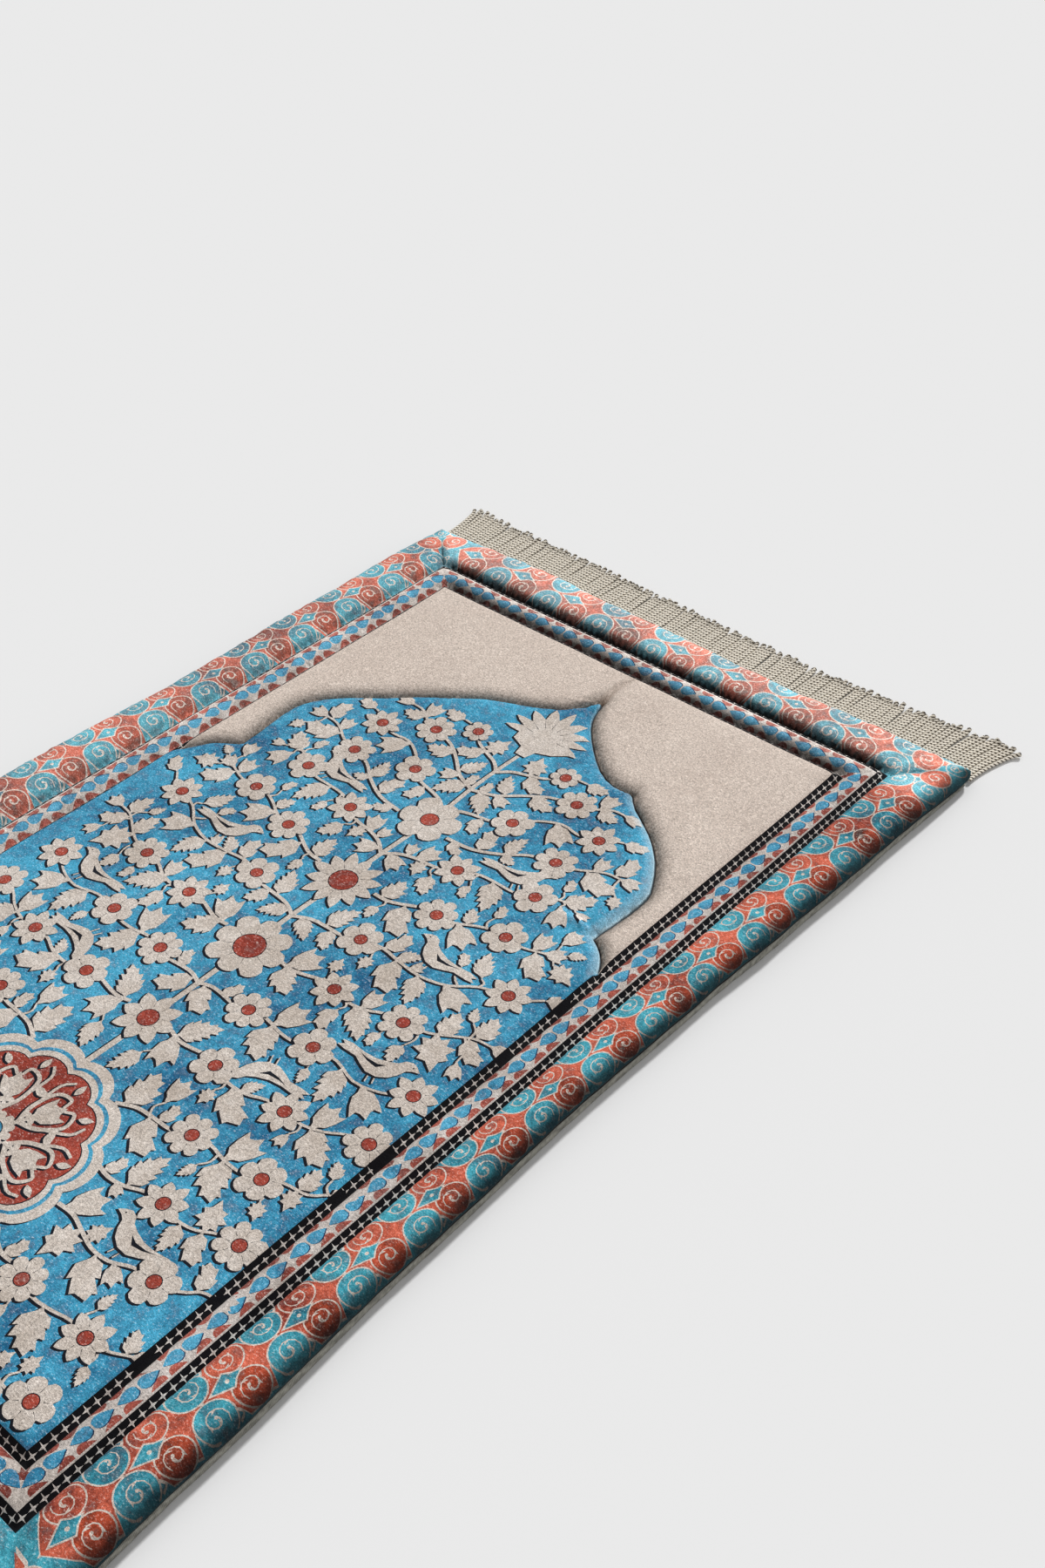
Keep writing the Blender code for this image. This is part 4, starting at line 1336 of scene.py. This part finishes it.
def printed_pile(colours):
    """Short velour pile with the print in it: mottled inks with wear, painted highlight and painted shade,
    over ribs and fibres.
    """
    shade = Shade("printed_pile")
    span, times, kept = shade.span, shade.times, shade.kept
    ink = kept("ink")
    usual, deep = [shade.steps(ink, [tuple(getattr(colours, name + end)) for name in INK])
                   for end in ("", "_deep")]
    cloudy = shade.noise(13, 5, roughness=0.6)
    blotchy = shade.noise(95, 4, roughness=0.65)
    brushed = shade.noise(420, 2)
    speckle = shade.noise(760, 3, stretch=(0.6, 1, 1), roughness=0.72)
    fibre = shade.noise(1500, 2, roughness=0.7)
    base = shade.mix(span(times(cloudy, 2.2, times(blotchy, 2.1)), 1.74, 2.64), usual, deep)

    # A painted highlight pales the print at the head and on fold backs; the pile's pale root shows between the
    # fibres.
    printed = span(shade.node("ShaderNodeRGBToBW", (usual,)).outputs[0], 0.03, 0.12)
    highlight_share = kept("wash")
    wear_and_highlight = times(span(blotchy, 0.54, 0.72), 0.12, times(highlight_share, 0.13))
    roots_and_highlight = times(span(speckle, 0.57, 0.67), 0.34, wear_and_highlight)
    base = shade.mix(times(roots_and_highlight, printed, clamp=True), base, solid((236, 229, 221)))

    # Painted shade: the field's shadow beside the arch's seam, dark lines in it and the stem's seam, and the
    # creases.
    from_arch = kept("from_arch")
    x, y, _ = shade.parts(shade.place)
    in_field = span(kept("inset"), FIELD_INSET * MM, FIELD_INSET * MM + 0.001)
    reach = times(shade.calc("SUBTRACT", brushed, 0.5), 0.010, from_arch)
    near = shade.calc("POWER", span(reach, 0.0005, 0.020, 1, 0), 2.0)
    dark = times(near, span(from_arch, 0, 0.0002, 0, 0.85))
    base = shade.mix(times(dark, in_field), base, solid((84, 72, 60)))
    on_blue = times(in_field, span(from_arch, 0.0001, 0, 0, 1))
    narrow = span(from_arch, -0.0026, -0.0008, 0, 0.45)
    rim = times(span(from_arch, -0.011, -0.001, 0, 0.62), span(x, 0.06, 0.16), narrow)
    base = shade.mix(times(rim, on_blue, clamp=True), base, solid((188, 220, 234)))
    in_seam = span(shade.calc("ABSOLUTE", from_arch), 0.0005, 0.0014, 0.9, 0)
    base = shade.mix(times(in_seam, in_field), base, solid((30, 26, 28)))
    stem = times(span(kept("from_stem"), 0.0, 0.007, 1, 0), span(y, float(TIP[1]), STEM_TOP, 0.5, 0.12))
    base = shade.mix(stem, base, solid((112, 88, 68)))
    # Painted shade from the values kept on the mesh, nearly black at its fullest.
    base = shade.mix(kept("nap"), base, shade.mix(1.0, base, (0.02, 0.018, 0.018, 1), "MULTIPLY"))

    # Fine ribs and fibres, brighter where the highlight is painted.
    grain = span(times(brushed, 0.35, times(fibre, 1.5, speckle)), 1.10, 1.75, 0.46, 1.46)
    grain = times(grain, times(highlight_share, 0.60, 1.0))
    base = shade.mix(1.0, base, shade.node("ShaderNodeCombineXYZ", [grain] * 3).outputs[0], "MULTIPLY")
    return shade.finish(Base_Color=base, Normal=shade.bump(times(speckle, 1.2, fibre), 0.6 * MM),
                        Roughness=0.85, Sheen_Weight=0.03, Sheen_Roughness=SHEEN_ROUGHNESS,
                        Specular_IOR_Level=0.08)


def backing_cloth(colours):
    """Grey-green plain-woven backing with fine ribs that stand upright on the rug's sides."""
    shade = Shade("backing_cloth")
    x, y, _ = shade.parts(shade.place)
    ribs = [shade.calc("SINE", shade.times(place, 2 * math.pi / (1.1 * MM))) for place in (x, y)]
    weave = shade.times(ribs[0], 0.5, shade.times(ribs[1], 0.5))
    slub = shade.noise(260, 3)
    woven = shade.span(shade.times(weave, 0.28, slub), 0.2, 0.8)
    low, high = [(*[min(1, value * light) for value in colours.backing], 1) for light in (0.5, 1.15)]
    height = shade.times(weave, 0.6, slub)
    return shade.finish(Base_Color=shade.mix(woven, low, high), Normal=shade.bump(height, 0.3 * MM),
                        Roughness=0.88, Sheen_Weight=0.05, Sheen_Roughness=SHEEN_ROUGHNESS,
                        Specular_IOR_Level=0.2)


def twisted_cord(colours, sizes):
    """Two plies wound round each other: light plies with painted shade in the grooves between them, darker at
    the loose tips.
    """
    shade = Shade("twisted_cord")
    x, _, z = shade.parts(shade.kept("cord_offset", "Vector"))
    turns = shade.times(shade.calc("ARCTAN2", z, x), 2)
    wound = shade.times(shade.kept("cord_along"), 4 * math.pi / sizes.twist_pitch, turns)
    ply = shade.calc("ABSOLUTE", shade.calc("SINE", shade.times(wound, 0.5)))
    fuzz = shade.noise(1500, 2)
    # The plies stay pale and the grooves between them take painted shade.
    light = shade.times(shade.calc("SUBTRACT", fuzz, 0.5), 0.4, shade.span(ply, 0.36, 0.80))
    light = shade.calc("SUBTRACT", light, shade.times(shade.kept("cord_tuft"), 0.30), clamp=True)
    height = shade.times(fuzz, 0.25, shade.calc("POWER", ply, 0.6))
    base = shade.mix(light, (*colours.cord_deep, 1), (*colours.cord, 1))
    return shade.finish(Base_Color=base, Normal=shade.bump(height, 0.8 * MM), Roughness=0.75,
                        Sheen_Weight=0.1, Sheen_Roughness=SHEEN_ROUGHNESS, Specular_IOR_Level=0.2)


# ---------------------------------------------------------------- backing and fringes

def make_backing(material):
    """The backing cloth: flat under the mat, turned up to the seam and a little puckered there."""
    edge = rectangle(0, 5.0) * MM
    across, along = insets(*edge.T)
    drop = np.where(along < across, RIM_DROP_END, RIM_DROP)
    near = corner_nearness(*edge.T, 24 * MM)
    rim = seam_height(*drawn_to_corner(*edge.T)) - (drop * (1 - near) + RIM_DROP_END * near)
    rim = np.maximum(CLOTH + GAP, rim)
    run = round_the_edge(edge)
    pucker = 0.45 * MM * np.sin(run * 190 + 2 * np.sin(run * 47)) * (0.6 + 0.4 * np.sin(run * 31))
    zero = np.zeros(len(edge))

    # From the middle of the upper side out, up to the rim, and down again outside: (inset, height, pucker).
    rows = ((BACKING_INSET + 0.7 * CLOTH, zero + CLOTH, 0),
            (BACKING_BELLY + CLOTH, CLOTH + 0.3 * (rim - CLOTH), 1),
            (RIM_INSET + CLOTH, rim, 0), (RIM_INSET + 0.5 * CLOTH, rim + 0.15 * MM, 0), (RIM_INSET, rim, 0),
            (0.5 * RIM_INSET + 0.5 * BACKING_BELLY, 0.7 * rim, 0.7), (BACKING_BELLY, 0.3 * rim, 1),
            (0.9 * BACKING_BELLY + 0.1 * BACKING_INSET, 0.08 * rim, 0.6), (BACKING_INSET, zero, 0))
    rings = [ring_below(edge, inset, heights) for inset, heights, _ in rows]
    for ring, (_, _, part) in zip(rings, rows):
        ring[:, :2] += at_edge(edge) * (pucker * part)[:, None]
    loops = np.arange(len(rows) * len(edge)).reshape(len(rows), -1).tolist()
    faces = [face for outer, inner in zip(loops, loops[1:]) for face in bridge(inner, outer)]
    return new_piece("turned_backing", np.vstack(rings), faces + [loops[0], loops[-1][::-1]], material)


FRINGE_WIDTH = 698 * MM          # of the row of cords, a little less than the mat
TUFT_SWELL = 0.25                # how much wider a cord's loose tip is

# Where a cord's points lie along it, closer together at its start and its tip.
CORD_PARTS = np.array([0, 0.05, 0.12, 0.22, 0.35, 0.5, 0.65, 0.78, 0.88, 0.94, 0.975, 1.0])


def cord_paths(sizes):
    """Points of every cord at the head: (cords, points, 3), and how loose each point's tip is."""
    count = int(FRINGE_WIDTH / sizes.cord_pitch)
    number = np.arange(count)
    x = (number - (count - 1) / 2) * sizes.cord_pitch
    across = np.linspace(-1, 1, 400) * (MAT_WIDTH / 2 - 1e-6)
    place = drawn_to_corner(across, np.full_like(across, MAT_LENGTH / 2))
    drawn = drawn_in(*place)
    edge_y = np.interp(x, drawn[0], drawn[1])
    seam = np.interp(x, drawn[0], seam_height(*place))

    # The cords lie in bunches: each bunch leans its own way, and its right side lies over the next one.
    width = (9 + 9 * np.abs(np.sin(2.1 * np.arange(80)))) * MM
    starts = np.cumsum(width) - width - MAT_WIDTH / 2
    bunch = np.searchsorted(starts, x, side="right") - 1
    within = (x - starts[bunch]) / width[bunch]
    lean = 1.1 * MM * np.sin(1.7 * bunch) - (within - 0.5) * width[bunch] * 0.06
    right, left = faded(MAT_WIDTH / 2 - x, SPLAY_REACH), faded(MAT_WIDTH / 2 + x, SPLAY_REACH)
    drift = SPLAY * (0.8 * right - 0.55 * left) + lean + 1.8 * MM * np.sin(41 * x + 0.8)

    # A cord is shorter in the middle of the fringe, falls to the floor, wanders, and curls at its loose tip.
    out = 2 * x / MAT_WIDTH
    uneven = 1.5 * np.sin(2.4 * number) + 1.6 * np.sin(2.9 * bunch)
    reach = sizes.cord_length + MM * (uneven - 7 * (1 - out ** 4) - out)
    parts = CORD_PARTS
    tuft = np.broadcast_to(share((parts - 0.86) / 0.14), (count, len(parts)))
    radius = sizes.cord_width / 2 * (1 + TUFT_SWELL * tuft)
    out = reach[:, None] * parts
    fall = (seam - RIM_DROP_END + GAP)[:, None] * share(1 - out / FLOOR_REACH) ** 1.7
    spread = share(parts / 0.3) * (1 - 0.35 * parts)
    lift = (1.0 * MM * within ** 1.5 + 0.4 * MM * (1 + np.sin(3.7 * number)))[:, None] * spread
    curl = share((parts - 0.84) / 0.16) ** 2
    z = fall + radius + lift + 1.1 * MM * (1 + np.sin(4.3 * number))[:, None] * curl
    swing = drift[:, None] * (parts ** 1.25 * (0.35 + 0.65 * parts))
    wander = 0.45 * MM * np.sin(1.9 * number)[:, None] * np.sin(np.pi * 2.3 * parts)
    hook = 2.3 * MM * np.sin(2.7 * number + 0.9 * bunch)[:, None] * curl
    back = 1.2 * MM * curl * (1 + np.cos(3.1 * number))[:, None]
    return np.stack([x[:, None] + swing + wander + hook, edge_y[:, None] - HEADING_INSET + out - back, z],
                    axis=-1), tuft


def cord_tree():
    """Geometry Nodes that wind a tube round every line of a mesh and keep where its surface lies."""
    tree = bpy.data.node_groups.new("wound cords", "GeometryNodeTree")
    inputs = (("Geometry", "Geometry"), ("Radius", "Float"), ("Sides", "Int"), ("Material", "Material"))
    for name, kind in inputs:
        tree.interface.new_socket(name, in_out="INPUT", socket_type="NodeSocket" + kind)
    tree.interface.new_socket("Geometry", in_out="OUTPUT", socket_type="NodeSocketGeometry")
    made = Nodes(tree)

    def step(kind, output, inputs=(), **settings):
        return made.node(kind, inputs, **settings).outputs[output]

    start = made.node("NodeGroupInput").outputs
    curve = step("GeometryNodeMeshToCurve", "Curve", {"Mesh": start["Geometry"]})
    tuft = step("GeometryNodeInputNamedAttribute", "Attribute", {"Name": "cord_tuft"}, data_type="FLOAT")
    swell = made.times(tuft, TUFT_SWELL, 1.0)
    curve = step("GeometryNodeSetCurveRadius", "Curve", {"Curve": curve, "Radius": swell})

    capture = made.node("GeometryNodeCaptureAttribute", domain="POINT")
    capture.capture_items.new("VECTOR", "Middle")
    capture.capture_items.new("FLOAT", "Along")
    for name, value in (("Geometry", curve), ("Middle", step("GeometryNodeInputPosition", 0)),
                        ("Along", step("GeometryNodeSplineParameter", "Length"))):
        made.give(capture.inputs[name], value)

    section = step("GeometryNodeCurvePrimitiveCircle", "Curve",
                   {"Radius": start["Radius"], "Resolution": start["Sides"]})
    last = step("GeometryNodeCurveToMesh", "Mesh",
                {"Fill Caps": True, "Curve": capture.outputs["Geometry"], "Profile Curve": section,
                 "Scale": step("GeometryNodeInputRadius", 0)})
    away = step("ShaderNodeVectorMath", 0, (step("GeometryNodeInputPosition", 0), capture.outputs["Middle"]),
                operation="SUBTRACT")
    for name, kind, value in (("cord_offset", "FLOAT_VECTOR", away),
                              ("cord_along", "FLOAT", capture.outputs["Along"])):
        last = step("GeometryNodeStoreNamedAttribute", "Geometry",
                    {"Name": name, "Geometry": last, "Value": value}, data_type=kind)
    last = step("GeometryNodeSetShadeSmooth", "Geometry", {"Geometry": last})
    last = step("GeometryNodeRealizeInstances", "Geometry", {"Geometry": last})
    last = step("GeometryNodeSetMaterial", "Geometry", {"Geometry": last, "Material": start["Material"]})
    made.node("NodeGroupOutput", {"Geometry": last})
    return tree


def plain_mesh(piece, name):
    """The piece's modifiers worked into a new plain mesh object; the first one is removed."""
    graph = bpy.context.evaluated_depsgraph_get()
    mesh = bpy.data.meshes.new_from_object(piece.evaluated_get(graph), preserve_all_data_layers=True,
                                           depsgraph=graph)
    bpy.data.objects.remove(piece)
    mesh.name = name
    return added(name, mesh)


def make_fringe(name, end, sizes, material):
    """One fringe: its cords in the seam and lying out on the floor. end is 1 at the head, -1 at the foot."""
    paths, tuft = cord_paths(sizes)
    cords, count, _ = paths.shape
    points = paths.reshape(-1, 3) * (end, end, 1)
    edges = [(cord * count + i, cord * count + i + 1) for cord in range(cords) for i in range(count - 1)]
    mesh = bpy.data.meshes.new(name)
    mesh.from_pydata(points.tolist(), edges, [])
    guide = added(name + "_guide", mesh)
    store(guide, "cord_tuft", "POINT", tuft.ravel())
    modifier = guide.modifiers.new("wound cords", "NODES")
    modifier.node_group = cord_tree()
    values = {"Radius": sizes.cord_width / 2, "Sides": 5, "Material": material}
    for item in modifier.node_group.interface.items_tree:
        if item.in_out == "INPUT" and item.name in values:
            modifier[item.identifier] = values[item.name]
    return plain_mesh(guide, name)


# ---------------------------------------------------------------- stage

FLOOR = 14.0                     # side of the floor that the camera sees
KEY_HEIGHT, KEY_LEFT, KEY_SIZE = 38, 10, 7       # degrees: above the floor, left of the head, across
KEY_ENERGY, SKY = 2.69, 0.50     # strengths of the key light and the sky

# The photograph's camera: its place in metres, its angles in degrees, and its focal length and the height of
# its frame in pixels. The sensor's height in mm can be any, as only its ratio to the lens counts.
CAMERA_PLACE = (0.93079, -0.71597, 1.07855)
CAMERA_PITCH, CAMERA_YAW, CAMERA_ROLL = 38.70, 42.36, -1.25
FOCAL_PIXELS, FRAME_PIXELS, SENSOR = 2066, 1800, 36.0


def camera_axes():
    """The camera's right, up and back, from its pitch down, its yaw to the left and its roll."""
    pitch, yaw, roll = map(math.radians, (CAMERA_PITCH, CAMERA_YAW, CAMERA_ROLL))
    forward = np.array([-math.sin(yaw) * math.cos(pitch), math.cos(yaw) * math.cos(pitch), -math.sin(pitch)])
    level = np.array([math.cos(yaw), math.sin(yaw), 0])
    upright = np.cross(level, forward)
    right = level * math.cos(roll) + upright * math.sin(roll)
    up = -level * math.sin(roll) + upright * math.cos(roll)
    return right, up, -forward


def make_stage():
    """Floor, soft light and the photograph's camera."""
    shade = Shade("studio_floor")
    material = shade.finish(Base_Color=(0.8, 0.8, 0.8, 1), Roughness=1.0, Specular_IOR_Level=0.0)
    corners = [(x * FLOOR / 2, y * FLOOR / 2, 0) for x, y in ((-1, -1), (1, -1), (1, 1), (-1, 1))]
    floor = new_piece("studio_floor", corners, [(0, 1, 2, 3)], material)

    lamp = bpy.data.lights.new("key", "SUN")
    lamp.energy = KEY_ENERGY
    lamp.angle = math.radians(KEY_SIZE)
    high, left = map(math.radians, (KEY_HEIGHT, KEY_LEFT))
    towards = Vector((-math.sin(left) * math.cos(high), math.cos(left) * math.cos(high), math.sin(high)))
    added("key", lamp).rotation_euler = towards.to_track_quat("Z", "Y").to_euler()

    scene = bpy.context.scene
    scene.world = bpy.data.worlds.new("studio")
    scene.world.use_nodes = True
    sky = scene.world.node_tree.nodes["Background"].inputs
    sky["Color"].default_value = (1, 1, 1, 1)
    sky["Strength"].default_value = SKY
    scene.view_settings.view_transform = "Standard"

    lens = bpy.data.cameras.new("camera")
    lens.sensor_fit = "VERTICAL"
    lens.sensor_height = SENSOR
    lens.lens = FOCAL_PIXELS * SENSOR / FRAME_PIXELS
    scene.camera = added("camera", lens)
    axes = np.column_stack([*camera_axes(), CAMERA_PLACE]).tolist()
    scene.camera.matrix_world = Matrix(axes + [[0, 0, 0, 1]])


# ---------------------------------------------------------------- operators, panel and the run

FRINGES = (("cords_head", "fringe_head", 1), ("cords_foot", "fringe_foot", -1))


def dress(piece, node):
    """Puts a piece on the rug's one body, in the place of a solid."""
    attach(piece, "root")
    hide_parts(node)


class RUG_OT_stage(bpy.types.Operator):
    """Add the floor, the light and the camera"""
    bl_idname = "rug.stage"
    bl_label = "Stage"

    def execute(self, context):
        make_stage()
        return {"FINISHED"}


class RUG_OT_face(bpy.types.Operator):
    """Add the printed and quilted face over its filling"""
    bl_idname = "rug.face"
    bl_label = "Printed mat"

    def execute(self, context):
        piece = make_face(context.scene.rug_sizes, printed_pile(context.scene.rug_colours))
        dress(piece, "mat")
        return {"FINISHED"}


class RUG_OT_backing(bpy.types.Operator):
    """Add the backing cloth, turned up to the seam"""
    bl_idname = "rug.backing"
    bl_label = "Backing"

    def execute(self, context):
        piece = make_backing(backing_cloth(context.scene.rug_colours))
        dress(piece, "backing")
        return {"FINISHED"}


class RUG_OT_fringes(bpy.types.Operator):
    """Add the twisted cords at both ends"""
    bl_idname = "rug.fringes"
    bl_label = "Fringes"

    def execute(self, context):
        sizes = context.scene.rug_sizes
        material = twisted_cord(context.scene.rug_colours, sizes)
        for name, node, end in FRINGES:
            dress(make_fringe(name, end, sizes, material), node)
        return {"FINISHED"}


class RUG_PT_pieces(bpy.types.Panel):
    """The rug's pieces, one button each, with the sizes of what repeats"""
    bl_label = "Prayer rug"
    bl_idname = "RUG_PT_pieces"
    bl_space_type = "VIEW_3D"
    bl_region_type = "UI"
    bl_category = "Rug"

    def draw(self, context):
        for operator in OPERATORS:
            self.layout.operator(operator.bl_idname)
        for name in RugSizes.__annotations__:
            self.layout.prop(context.scene.rug_sizes, name)


OPERATORS = (RUG_OT_stage, RUG_OT_face, RUG_OT_fringes, RUG_OT_backing)
CLASSES = (RugColours, RugSizes, *OPERATORS, RUG_PT_pieces)


def register():
    """Registers the classes and the scene's colours and sizes."""
    for made in CLASSES:
        bpy.utils.register_class(made)
    bpy.types.Scene.rug_colours = bpy.props.PointerProperty(type=RugColours)
    bpy.types.Scene.rug_sizes = bpy.props.PointerProperty(type=RugSizes)


def unregister():
    """Takes away what register added."""
    del bpy.types.Scene.rug_colours
    del bpy.types.Scene.rug_sizes
    for made in reversed(CLASSES):
        bpy.utils.unregister_class(made)


def main():
    """Makes the rug."""
    register()
    bpy.ops.rug.stage()
    bpy.ops.rug.fringes()
    bpy.ops.rug.backing()
    bpy.ops.rug.face()


if __name__ == "__main__":
    main()
